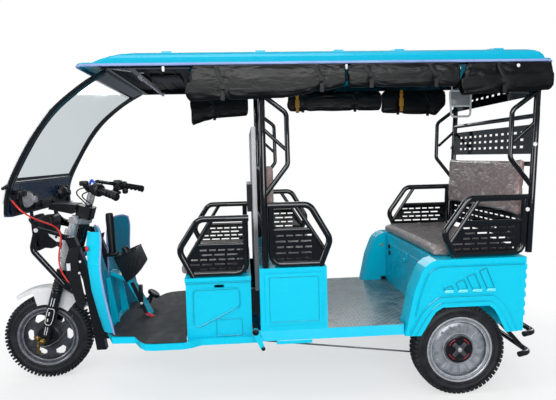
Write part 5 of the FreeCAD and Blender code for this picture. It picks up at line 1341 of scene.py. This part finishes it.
# %% Windscreen rails
SCREEN_CURVE = [(-1.2165, 0.985), (-1.213, 1.029), (-1.199, 1.107), (-1.134, 1.235),
                (-1.050, 1.373), (-0.965, 1.476), (-0.869, 1.556), (-0.782, 1.615), (-0.722, 1.645)]
rails = []
for y, thick in ((-0.4205, 0.0112), (-0.3990, 0.0104)):
    for points in both_sides([(x, y, z) for x, z in SCREEN_CURVE]):
        rails.append(bent(points, thick, kind="NURBS", sides=3))
rails.append(pin((-1.188, -0.402, 1.132), (-1.188, 0.402, 1.132), 0.0105))
done(rails, "screen_rails", frame_paint, "chassis")
strips = [bent(points, 0.0032, kind="NURBS", sides=1)
          for points in both_sides([(x - 0.011, -0.4325, z + 0.003)
                                    for x, z in SCREEN_CURVE[1:6]])]
done(strips, "screen_edge_strips", guard_white, "chassis")

# %% [markdown]
# ## Shade plate behind the cowl
#
# Behind the cowl, below its navy face, all is dark: shadow with the lamps' hardware in it. A
# black plate stands for both, so it is partly painted shade. Little of it is seen through the
# glass, so one plate with a wavy upper edge and a few ribs is enough. Two knobs and a relay
# stand at its left end.

# %% Cowl shade plate and knobs
SHADE_PLATE = [(-0.408, 1.094), (-0.355, 1.104), (-0.207, 1.090), (-0.132, 1.061), (-0.017, 1.026),
         (0.065, 1.016), (0.165, 1.026), (0.240, 1.082), (0.300, 1.100), (0.408, 1.098),
         (0.408, 0.976), (-0.408, 0.976)]
# A black plate for the shadow and the lamp hardware behind the cowl: partly painted shade.
shade_plate = plate([(-1.198, y, z) for y, z in SHADE_PLATE], (0.005, 0, 0), 0.010, 0.0015)
ribs = [block((-1.196, y - 0.003, 0.978), (-1.180, y + 0.003, z), 0.001)
        for y, z in ((-0.340, 1.09), (-0.160, 1.06), (-0.06, 1.02), (0.10, 1.01), (0.340, 1.08))]
done([shade_plate] + ribs, "cowl_shade_plate", black_plastic, "chassis")
KNOB_STEPS = ((0.2, 0.0085), (0.3, 0.006), (0.4, 0.0085), (0.5, 0.006), (0.6, 0.0085),
              (0.7, 0.006), (0.8, 0.0085))
knobs = [pin((-1.196, -0.430, 1.111), (-1.196, -0.452, 1.111), 0.009),
         pin((-1.214, -0.452, 1.104), (-1.184, -0.452, 1.122), 0.0065, swell=KNOB_STEPS),
         block((-1.192, -0.392, 1.062), (-1.150, -0.330, 1.092), 0.004)]
done(knobs, "cowl_fittings", black_plastic, "chassis")

# %% [markdown]
# ## Lamps
#
# Each headlamp has a bowl, a rubber ring on each side of the cowl, and its glass. The near
# bowl shows its silver shell. The far one is silver too, but it is black plastic here: painted
# shade, as it lies dark in the cowl's shadow. All are turned from a profile along the lamp's
# axis. A tail lamp is a red lens in a thin bright frame, and both follow the leaning rear face.

# %% Headlamps
bowls, lamp_rings, lenses = [], [], []
for y in (-0.250, 0.250):
    place, axis = (-1.211, y, 1.039), (1, 0, 0)
    bowls.append(turned([(-0.022, 0.0455), (0.010, 0.0455), (0.030, 0.041), (0.048, 0.029),
                         (0.056, 0.018), (0.072, 0.016), (0.073, 0.0)], place, axis, closed=False))
    lamp_rings.append(turned([(0.004, 0.0452), (0.004, 0.049), (0.012, 0.0512), (0.020, 0.049),
                              (0.020, 0.0440)], place, axis))
    lamp_rings.append(turned([(-0.034, 0.0430), (-0.034, 0.046), (-0.030, 0.0485),
                              (-0.022, 0.0485), (-0.020, 0.0458), (-0.020, 0.0430)], place, axis))
    lenses.append(turned([(-0.022, 0.044), (-0.030, 0.042), (-0.0335, 0.028), (-0.0340, 0.0)],
                         place, axis, closed=False))
done(bowls[0], "headlamp_bowl_left", lamp_shell, "chassis")
# The far bowl is black plastic as painted shade; the real one is silver like the near one.
done(bowls[1], "headlamp_bowl_right", black_plastic, "chassis")
done(lamp_rings, "headlamp_rings", boot_rubber, "chassis")
done(lenses, "headlamp_glass", lamp_grey, "chassis")

# %% Tail lamps
LAMP_TALL, LAMP_HALF = 0.052, 0.034
tails, frames = [], []
for y in (-0.462, 0.462):
    for level in (0.580, 0.480, 0.380):
        corners = [(rear_face(z, 1.3223), y + out, z)
                   for z, out in ((level, -LAMP_HALF), (level, LAMP_HALF),
                                  (level + LAMP_TALL, LAMP_HALF), (level + LAMP_TALL, -LAMP_HALF))]
        tails.append(plate(corners, (0.0118, 0, 0), 0.006, 0.003))
        frames.append(bent([(x + 0.002, across_y, z) for x, across_y, z in corners], 0.0026,
                           closed=True, sides=1))
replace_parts(done(tails, "tail_lenses", lamp_red, "chassis"), "body_lamps")
done(frames, "tail_frames", bright_metal, "chassis")


# %% [markdown]
# ## Floor mat
#
# The driver's mat fills the whole tray up to its rim. It lies loose, so it must not look
# like a stiff board. A cloth simulation would only lay it flat. So its outline is drawn as
# one plate and bisected into squares, and the sheet then has points enough to be lifted in
# soft waves, with one worn fold across the middle.

# %% Floor mat
MAT_EDGE = [(-0.800, -0.300), (-0.764, -0.346), (-0.658, -0.359), (-0.618, -0.432),
            (-0.588, -0.466), (-0.541, -0.4785), (-0.402, -0.4785), (-0.376, -0.474),
            (-0.388, -0.410)]
MAT_EDGE += [(x, -y) for x, y in reversed(MAT_EDGE)]
MAT_UNDERSIDE, MAT_THICK, MAT_GRID = 0.3290, 0.003, 0.0202
mat = plate([(x, y, MAT_UNDERSIDE) for x, y in MAT_EDGE], (0, 0, MAT_THICK), 0.012)
open_mesh(mat)
for way, low, count in ((Vector((1, 0, 0)), -0.800, 21), (Vector((0, 1, 0)), -0.4785, 47)):
    for cut in range(1, count):
        bpy.ops.mesh.select_all(action="SELECT")
        bpy.ops.mesh.bisect(plane_co=way * (low + MAT_GRID * cut), plane_no=way)
close_mesh()
for vertex in mat.data.vertices:
    x, y = vertex.co.x, vertex.co.y
    wave = 0.5 + 0.5 * noise.noise(Vector((x * 7, y * 4, 2)))
    fold = math.exp(-((x + 0.05 * math.sin(y * 7) + 0.50) / 0.03) ** 2)
    lift = 0.0030 * wave + 0.0026 * fold + 0.0012 * noise.noise(Vector((x * 24, y * 18, 5)))
    vertex.co.z += max(0.0, lift) * min(1.0, (abs(x + 0.388) + 0.01) / 0.03)
done(mat, "floor_mat_sheet", mat_rubber, "chassis", 0)
only(mat)
bpy.ops.object.shade_smooth_by_angle(angle=math.radians(50))
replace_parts(mat, "floor_mat")

# %% [markdown]
# ## Storage bin
#
# The black bin on the console is an open box: its side outline is pushed out to its width,
# and its mouth is then inset and pushed down, which leaves a wall of even thickness. A rim,
# four fins on its side and a divider finish it.

# %% Storage bin
BIN_SIDE = [(-0.814, 0.679), (-0.690, 0.729), (-0.655, 0.640), (-0.700, 0.575), (-0.752, 0.540),
            (-0.775, 0.590)]
storage = side_plate(BIN_SIDE, -0.074, 0.148, 0.008, 0.0, 3)
mouth = Vector((-0.05, 0, 0.124)).normalized()
open_mesh(storage, False)
select_faces(storage, lambda spot, normal: normal.dot(mouth) > 0.97 and spot.z > 0.69)
bpy.ops.mesh.inset(thickness=0.006, depth=0)
bpy.ops.mesh.extrude_region_move(TRANSFORM_OT_translate={"value": mouth * -0.055})
faces_out()
close_mesh()
applied(storage, "BEVEL", width=0.004, segments=3, limit_method="ANGLE")
rim = bent(softened([(-0.814, -0.076, 0.681), (-0.690, -0.076, 0.731), (-0.690, 0.076, 0.731),
                     (-0.814, 0.076, 0.681)], 0.012), 0.004, closed=True, sides=2)
fins = [pin((-0.768 + 0.021 * i, -0.0755, 0.585 + 0.004 * i),
            (-0.748 + 0.024 * i, -0.0755, 0.672 + 0.006 * i), 0.0028) for i in range(4)]
divider = block((-0.745, -0.068, 0.640), (-0.741, 0.068, 0.702), 0.001)
storage_bin = done([storage, rim, divider] + fins, "storage_bin", black_plastic, "chassis")
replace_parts(storage_bin, "storage_pocket")

# %% [markdown]
# ## Console knob and lever
#
# Beside the bin stand a round post with two knobs, and below it a bent lever with a red tip.
# Round parts are turned bars, and the flat lever is a plate with its real outline.

# %% Console knob and lever
strut = [pin((-0.800, -0.050, 0.690), (-0.742, -0.050, 0.650), 0.013),
         pin((-0.758, -0.060, 0.742), (-0.736, -0.060, 0.700), 0.019, 0.006),
         pin((-0.846, 0.0, 0.930), (-0.838, 0.0, 0.700), 0.0205, 0.006,
             swell=((0.15, 0.0225), (0.85, 0.0195))),
         block((-0.866, -0.022, 0.680), (-0.806, 0.022, 0.705), 0.004)]
done(strut, "console_knob", black_plastic, "chassis")
channel = [block((-0.690, -0.060, 0.418), (-0.668, -0.041, 0.520), 0.003),
           side_plate([(-0.735, 0.532), (-0.716, 0.536), (-0.642, 0.352), (-0.662, 0.352)],
                      -0.058, 0.017, 0.003, 0.002)]
done(channel, "console_lever", black_plastic, "chassis")
done(button((-0.676, -0.058, 0.415), (0, -1, 0), 0.008, 0.006), "console_bolt", marking_white,
     "chassis")
tip = side_plate([(-0.664, 0.356), (-0.641, 0.356), (-0.606, 0.334), (-0.628, 0.332)],
                 -0.0585, 0.018, 0.003, 0.002)
done(tip, "lever_tip", marking_red, "chassis")


# %% [markdown]
# ## Front lamp
#
# The lamp on the bow is a moulded black housing with a deeper bezel in front. Its side
# outline gives the stepped back, and a Bevel modifier then rounds all edges alike, as a
# mould would. The glass is a shallow turned dome.

# %% Front lamp
LAMP_SIDE = [(-1.226, 0.756), (-1.140, 0.746), (-1.130, 0.800), (-1.150, 0.846), (-1.134, 0.880),
             (-1.142, 0.932), (-1.226, 0.926)]
BEZEL = [(-0.070, 0.735), (0.070, 0.735), (0.078, 0.840), (0.060, 0.936), (-0.060, 0.936),
         (-0.078, 0.840)]
housing = side_plate(LAMP_SIDE, -0.066, 0.132, 0.014, 0.0, 4)
applied(housing, "BEVEL", width=0.009, segments=3, limit_method="ANGLE")
bezel = plate([(-1.226, y, z) for y, z in BEZEL], (-0.017, 0, 0), 0.022, 0.006)
bow_lamp = done([housing, bezel], "bow_lamp_housing", black_plastic, "chassis")
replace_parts(bow_lamp, "front_lamp")
done(turned([(0.0, 0.052), (0.004, 0.050), (0.009, 0.030), (0.0105, 0.0)], (-1.2415, 0, 0.838),
            (-1, 0, 0), closed=False), "bow_lamp_glass", lamp_grey, "chassis")

# %% [markdown]
# ## Fork sleeves and label
#
# Each lower fork leg is a painted casting that swells towards its top. It carries a bare
# outlined label with double strokes above and below. Flat strokes would float off the round
# leg, so each point of a stroke is worked out on the leg's own surface.

# %% Fork sleeves and label
RAKE = math.radians(16.5)
UP_LEG = Vector((math.sin(RAKE), 0, math.cos(RAKE)))
ASIDE = Vector((math.cos(RAKE), 0, -math.sin(RAKE)))
LEG_WIDTHS = ((0.0, 0.0195), (0.06, 0.0245), (0.12, 0.0300), (0.34, 0.0315))
LABEL = [(0.092, -30), (0.092, 0), (0.092, 30), (0.110, 40), (0.168, 40), (0.186, 30), (0.186, 0),
         (0.186, -30), (0.168, -40), (0.110, -40)]
STROKES = [(low, high, turn, 0.0021) for low, high in ((0.030, 0.078), (0.200, 0.248))
           for turn in (-14, 12)]
STROKES += [(low, high, -8, 0.0034) for low, high in ((0.112, 0.128), (0.146, 0.166))]


def leg_foot(side):
    """Where a fork leg's middle line meets the axle."""
    return Vector((-1.211, side * 0.078, 0.240))


def on_leg(side, along, turn):
    """A place on the lower leg: along it from the axle, and turned round it in degrees."""
    angle = math.radians(turn)
    thick = 0.0002 + between(LEG_WIDTHS, along)
    return (leg_foot(side) + UP_LEG * along + ASIDE * math.sin(angle) * thick
            + Vector((0, side * math.cos(angle) * thick, 0)))


legs, strokes = [], []
for side in (-1, 1):
    legs.append(pin(leg_foot(side) - UP_LEG * 0.020, leg_foot(side) + UP_LEG * 0.285, 0.0195,
                    swell=((0.066, 0.0195), (0.262, 0.0245), (0.459, 0.0300), (0.97, 0.0312),
                           (1.0, 0.0290))))
    strokes.append(bent([on_leg(side, *spot) for spot in LABEL], 0.0021, closed=True,
                        kind="NURBS", sides=1))
    for low, high, turn, thick in STROKES:
        strokes.append(bent([on_leg(side, low, turn), on_leg(side, high, turn)], thick, sides=1))
done(legs, "fork_sleeves", fork_paint, "steering")
done(strokes, "fork_label", marking_white, "steering")

# %% [markdown]
# ## Fork boots, axle nuts and stay
#
# Above each sleeve a ribbed rubber boot covers the sliding tube. It is one turned bar whose
# radius swings between two values. Below sit the axle's nuts with a small lever arm, and a
# thin bright stay bends back from them. The clamps at the top are chromed.

# %% Fork boots
BOOT_RIBS = [(step / 16, 0.0310 if step % 2 else 0.0262) for step in range(1, 16)]
boots = [pin(leg_foot(side) + UP_LEG * 0.286, leg_foot(side) + UP_LEG * 0.408, 0.0255,
             swell=BOOT_RIBS) for side in (-1, 1)]
done(boots, "fork_boots", boot_rubber, "steering")

# %% Axle nuts, stay and clamps
NUT = [(0, 0), (0, 0.0155), (0.008, 0.0155), (0.009, 0.012), (0.016, 0.0105), (0.020, 0.006),
       (0.021, 0)]
ARM_STEPS = ((0.08, 0.0085), (0.2, 0.0085), (0.24, 0.0052), (0.55, 0.0052), (0.6, 0.009),
             (0.76, 0.009), (0.8, 0.0055))
nuts = [turned(NUT, (-1.211, side * 0.1125, 0.240), (0, side, 0), turns=24, closed=False)
        for side in (-1, 1)]
nuts.append(pin((-1.242, -0.108, 0.268), (-1.238, -0.108, 0.176), 0.0052, swell=ARM_STEPS))
for corners in ([(-1.262, 0.266), (-1.224, 0.262), (-1.228, 0.254), (-1.256, 0.256)],
                [(-1.253, 0.182), (-1.226, 0.186), (-1.228, 0.172), (-1.246, 0.168)]):
    nuts.append(side_plate(corners, -0.112, 0.008, 0.002, 0.001))
nuts.append(pin((-1.238, -0.108, 0.232), (-1.214, -0.108, 0.238), 0.005))
done(nuts, "axle_nuts", brass, "steering")
STAY = [(-1.228, -0.098, 0.200), (-1.190, -0.097, 0.204), (-1.152, -0.096, 0.222),
        (-1.120, -0.094, 0.248), (-1.092, -0.092, 0.282), (-1.066, -0.089, 0.330),
        (-1.050, -0.086, 0.372)]
done(bent(STAY, 0.0034, kind="NURBS", sides=2), "brake_stay", rod_metal, "steering")
risers = []
for side in (-1, 1):
    risers.append(pin((-0.9535, side * 0.034, 0.984), (-0.9325, side * 0.034, 1.054), 0.0125))
    risers.append(pin((-1.037 - 0.0455, side * 0.078, 0.702), (-1.037, side * 0.078, 0.857), 0.0268,
                      swell=((0.04, 0.0268), (0.045, 0.0256), (0.80, 0.0256), (0.805, 0.0282))))
done(risers, "fork_chrome", bright_metal, "steering")

# %% [markdown]
# ## Bow fittings
#
# The front bow is held by round-headed bolts and carries two bent bars beside the lamp, a
# small bracket with two holes and a row of white dots. Each hole is only a dark low dome of
# painted shade: at this size nobody can tell it from a real one, and it keeps the plate
# simple.

# %% Bow bolts, bars and bracket
LEFT = (0, -1, 0)
bolts = [button((x, side * 0.1955, z), (0, side, 0), 0.0115, 0.006)
         for side in (-1, 1) for x, z in ((-1.176, 0.870), (-1.003, 0.821))]
bolts += [button((x, -0.2265, z), LEFT, 0.0065, 0.004)
          for x, z in ((-0.948, 0.700), (-0.955, 0.640))]
bolts.append(side_plate([(-1.117, 0.861), (-1.050, 0.836), (-1.050, 0.806), (-1.078, 0.803),
                         (-1.116, 0.840)], -0.1825, -0.003, 0.006, 0.001))
bolts.append(block((-1.018, -0.2325, 0.655), (-0.998, -0.2268, 0.694), 0.002))
done(bolts, "bow_bolts", guard_white, "chassis")
BAR = [(-1.214, -0.1795, 0.935), (-1.172, -0.1860, 0.878), (-0.990, -0.1860, 0.817)]
bars = [bent(softened(points, 0.02), 0.0105, sides=3) for points in both_sides(BAR)]
done(bars, "bow_bars", frame_paint, "chassis")
# Dark low domes stand for the two holes: painted shade.
hole_shades = [button((-1.078, -0.1853, 0.829), LEFT, 0.007, 0.0012),
         button((-1.103, -0.1853, 0.848), LEFT, 0.005, 0.0012)]
done(hole_shades, "bracket_hole_shades", boot_rubber, "chassis")
dots = [button((x, -0.2125, z), LEFT, 0.0062, 0.003)
        for x, z in ((-0.905, 0.582), (-0.899, 0.548), (-0.890, 0.514), (-0.884, 0.480))]
done(dots, "rail_dots", marking_white, "chassis")
done(button((-0.884, -0.296, 0.779), (-0.85, -0.5, 0), 0.012, 0.012), "shield_knob",
     marking_red, "chassis")


# %% [markdown]
# ## Handlebar fittings
#
# On the near side a round throttle housing sits against the grip, with the brake perch in
# front. The far side has a bulky switch block. Such castings are several simple rounded
# forms grown together, so blocks and turned bars that cut into one another make them. Thin
# control cables loop from both sides to the stem.

# %% Handlebar fittings
GRIP_RUN = Vector((0.762, 0.608, -0.221))
perch = [block((-0.920, -0.264, 1.100), (-0.877, -0.234, 1.126), 0.007, 3),
         pin((-0.897, -0.249, 1.104), (-0.886, -0.232, 1.076), 0.010),
         pin((-0.852, -0.220, 1.0815), (-0.817, -0.248, 1.0715), 0.0335, 0.006, 32),
         pin((-0.868, -0.206, 1.086), (-0.850, -0.221, 1.081), 0.021, 0.003, 32),
         block((-0.872, 0.206, 1.044), (-0.822, 0.262, 1.108), 0.012, 3),
         block((-0.832, 0.222, 1.060), (-0.796, 0.266, 1.098), 0.010, 3),
         block((-0.826, 0.236, 1.020), (-0.792, 0.270, 1.062), 0.012, 3),
         pin((-0.872, 0.222, 1.052), (-0.838, 0.250, 1.026), 0.009)]
for side in (-1, 1):
    run = Vector((GRIP_RUN.x, side * GRIP_RUN.y, GRIP_RUN.z))
    for share in (0.54, 0.66, 0.78, 0.90, 0.985):
        spot = Vector((-0.889 + 0.169 * share, side * (0.190 + 0.135 * share),
                       1.092 - 0.049 * share))
        perch.append(pin(spot, spot + run * 0.008, 0.0187 if share < 0.98 else 0.0205, 0.0015, 28))
done(perch, "handlebar_fittings", grip_rubber, "steering")

# %% Control cables, clip and mark
LOOPS = [[(-0.900, -0.236, 1.090), (-0.934, -0.226, 1.084), (-0.958, -0.200, 1.062),
          (-0.958, -0.150, 1.034), (-0.948, -0.090, 1.000), (-0.948, -0.040, 0.972)],
         [(-0.872, -0.206, 1.074), (-0.912, -0.204, 1.062), (-0.936, -0.180, 1.046),
          (-0.940, -0.120, 1.018), (-0.936, -0.050, 0.996)],
         [(-0.868, 0.214, 1.086), (-0.892, 0.180, 1.100), (-0.912, 0.130, 1.092),
          (-0.924, 0.080, 1.070), (-0.930, 0.040, 1.050)],
         [(-0.850, 0.226, 1.040), (-0.880, 0.190, 1.046), (-0.908, 0.130, 1.050),
          (-0.928, 0.060, 1.030)]]
CLIP = [(-0.892, 1.102), (-0.886, 1.121), (-0.878, 1.128), (-0.870, 1.112), (-0.862, 1.103)]
wires = [bent(points, 0.0034, kind="NURBS", sides=2) for points in LOOPS]
done(wires, "control_wires", boot_rubber, "steering")
done(bent([(x, -0.176, z) for x, z in CLIP], 0.0062, kind="NURBS", sides=2), "blue_clip",
     blue_plastic, "steering")
done(button((-0.906, 0.064, 1.074), (0.2, -1, 0.3), 0.008, 0.008), "bar_mark", marking_red,
     "steering")


# %% [markdown]
# ## Under the roof
#
# Behind the windscreen's header a dark pressed panel closes the roof's nose, with a bright
# stay across it. Only its ribs and one raised field can be seen from below, so it is a thin
# plate with blocks on it.

# %% Roof nose and stay
nose = [block((-0.700, -0.470, 1.6805), (-0.345, 0.470, 1.6835), 0.001)]
for x in (-0.640, -0.570, -0.500, -0.430):
    nose.append(block((x, -0.440, 1.6760), (x + 0.014, 0.440, 1.6810), 0.002))
nose.append(block((-0.560, -0.130, 1.6640), (-0.400, 0.060, 1.6810), 0.006))
done(nose, "roof_nose_panel", black_plastic, "chassis")
roof_stay = [pin((-0.593, -0.220, 1.652), (-0.581, 0.440, 1.640), 0.0085),
             pin((-0.593, -0.235, 1.654), (-0.593, -0.160, 1.6515), 0.013),
             pin((-0.690, -0.430, 1.662), (-0.560, -0.300, 1.660), 0.005)]
done(roof_stay, "roof_stay", bright_metal, "chassis")

# %% [markdown]
# ## Handles, pouch and clips
#
# Two amber strap handles hang from the far side, and a clear pouch hangs near the rear on
# two thin rods. A handle is a strap, a loop, a tail and a clasp, so its four blocks are
# listed once, each with its half width, its near and far corner and its rounding, and are
# then made at both places.

# %% Handles, pouch and clips
HANDLE = ((0.0095, 0.446, 1.594, 0.451, 1.652, 0.0015), (0.0150, 0.442, 1.545, 0.455, 1.600, 0.005),
          (0.0105, 0.446, 1.511, 0.451, 1.550, 0.0015), (0.0115, 0.440, 1.618, 0.457, 1.630, 0.003))
handles = [block((x - half, near, low), (x + half, far, high), bevel)
           for x in (0.2925, 0.996) for half, near, low, far, high, bevel in HANDLE]
done(handles, "strap_handles", amber_plastic, "chassis")
POUCH = [(1.140, 0, 1.585), (1.268, 0, 1.585), (1.264, 0, 1.436), (1.150, 0, 1.436)]
pouch = [bent(softened(POUCH, 0.02), 0.0062, closed=True, sides=2),
         block((1.141, -0.004, 1.492), (1.267, 0.004, 1.502), 0.003)]
pouch += [pin((x, 0, 1.585), (x, 0, 1.660), 0.004) for x in (1.152, 1.254)]
done(pouch, "pouch_frame", marking_white, "chassis")
done(block((1.144, -0.0015, 1.500), (1.264, 0.0015, 1.582), 0.0005), "pouch_mesh", lamp_grey,
     "chassis")
clips = [block((x - 0.006, -0.524, 1.628), (x + 0.006, -0.514, 1.652), 0.003)
         for x in (0.421, -0.430)]
clips += [button((1.249, -0.5385, 1.634), LEFT, 0.0085, 0.0015),
          button((0.9685, -0.520, 1.628), LEFT, 0.006, 0.004)]
done(clips, "roof_clips", marking_white, "chassis")
reflectors = [button((x, side * 0.4945, z), (0, side, 0), 0.0105, 0.007)
              for side in (-1, 1) for x, z in ((1.366, 1.258), (1.334, 0.935))]
done(reflectors, "pillar_reflectors", marking_white, "chassis")


# %% [markdown]
# ## Rear seat base
#
# The front of the rear seat's box has a door with a hasp, five slanted vents and two charging
# sockets. The vents are raised lips of the same sheet, so one leaning plate is repeated, each
# a little lower and further over.

# %% Seat base fittings
FORWARD, BASE_FACE = (-1, 0, 0), 0.8705
base = []
for index in range(5):
    y, z = 0.257 - 0.036 * index, 0.462 + 0.019 * index
    vent = [(y, z), (y - 0.014, z + 0.004), (y - 0.030, z + 0.096), (y - 0.016, z + 0.092)]
    base.append(plate([(BASE_FACE, *spot) for spot in vent], (-0.004, 0, 0), 0.003, 0.002))
base.append(block((0.862, -0.058, 0.596), (0.871, -0.030, 0.646), 0.003))
base.append(block((0.856, -0.030, 0.586), (0.871, 0.004, 0.606), 0.004))
done(base, "seat_base_vents", body_paint, "chassis")
base_door = [(0.8698, 0.330, 0.640), (0.8698, -0.330, 0.640), (0.8698, -0.330, 0.400),
             (0.8698, 0.330, 0.400)]
pressed_line("seat_base_door", [base_door], "chassis", 0.0018)
sockets = [button((BASE_FACE, 0.312, 0.618), FORWARD, 0.015, 0.010),
           button((BASE_FACE, 0.304, 0.578), FORWARD, 0.015, 0.010),
           button((0.862, -0.014, 0.592), FORWARD, 0.007, 0.006)]
done(sockets, "charge_sockets", black_plastic, "chassis")
done(button((0.842, 0.4045, 0.615), LEFT, 0.009, 0.003), "inspection_mark", amber_plastic,
     "chassis")

# %% [markdown]
# ## Panel under the rear backrest
#
# Under the backrest a perforated steel panel shows from behind. It is built as slats and
# short uprights that cross, which leaves real holes for light to come through.

# %% Panel under the rear backrest
slats = [block((1.366, -0.470, low), (1.370, 0.470, high), 0)
         for low, high in ((0.752, 0.786), (0.794, 0.824), (0.832, 0.862), (0.870, 0.905))]
slats += [block((1.3662, -0.470 + 0.0613 * step, 0.753), (1.3698, -0.450 + 0.0613 * step, 0.904), 0)
          for step in range(16)]
done(slats, "rear_back_panel", frame_paint, "chassis")

# %% [markdown]
# ## Pedal and crank
#
# The brake pedal has a round rubber pad on its arm. The pad is turned from half its section,
# like a mushroom. Low on the near side the crank turns on two domed pins, and a small
# bracket sits under the door.

# %% Pedal and crank
pedal = [pin((-0.672, 0.150, 0.352), (-0.652, 0.150, 0.404), 0.007),
         turned([(0, 0), (0, 0.016), (0.008, 0.036), (0.020, 0.040), (0.028, 0.034), (0.031, 0)],
                (-0.654, 0.150, 0.398), (0.55, 0, 0.83), (0.83, 0, -0.55), 28, closed=False)]
done(pedal, "pedal_pad", grip_rubber, "chassis")
crank = [button((-0.040, -0.5035, 0.373), LEFT, 0.0165, 0.006),
         button((-0.004, -0.5035, 0.288), LEFT, 0.010, 0.006)]
done(crank, "crank_pins", boot_rubber, "chassis")
done(block((0.062, -0.4975, 0.304), (0.240, -0.4940, 0.321), 0.0015), "sill_bracket",
     body_paint, "chassis")


# %% [markdown]
# ## The red cable
#
# One red sheathed cable runs loose from the cowl's side down to the front bow. Its route is
# the same row of points as in the CAD source, drawn as one smooth curve that stays a curve,
# so that its length can be measured and changed.

# %% Cable
CABLE = [(-1.180, -0.436, 1.050), (-1.155, -0.430, 1.006), (-1.123, -0.388, 0.964),
         (-1.102, -0.330, 0.936), (-1.081, -0.266, 0.912), (-1.062, -0.219, 0.888),
         (-1.048, -0.198, 0.846), (-1.054, -0.193, 0.795), (-1.067, -0.192, 0.744),
         (-1.070, -0.192, 0.696), (-1.062, -0.192, 0.652), (-1.046, -0.192, 0.616),
         (-1.026, -0.190, 0.584)]
bpy.ops.object.select_all(action="DESELECT")
bpy.ops.curve.primitive_nurbs_path_add()
cable = bpy.context.object
cable.location = (0, 0, 0)
cable.data.splines.clear()
route = cable.data.splines.new("NURBS")
route.points.add(len(CABLE) - 1)
for spot, place in zip(route.points, CABLE):
    spot.co = (*place, 1)
route.order_u = 3
route.use_endpoint_u = True
route.resolution_u = 12
cable.data.dimensions = "3D"
cable.data.bevel_depth = 0.004
cable.data.bevel_resolution = 4
cable.data.use_fill_caps = True
cable.name = "red_cable_sheath"
cable.data.materials.append(cable_skin)
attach(cable, "chassis")
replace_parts(cable, "red_cable")
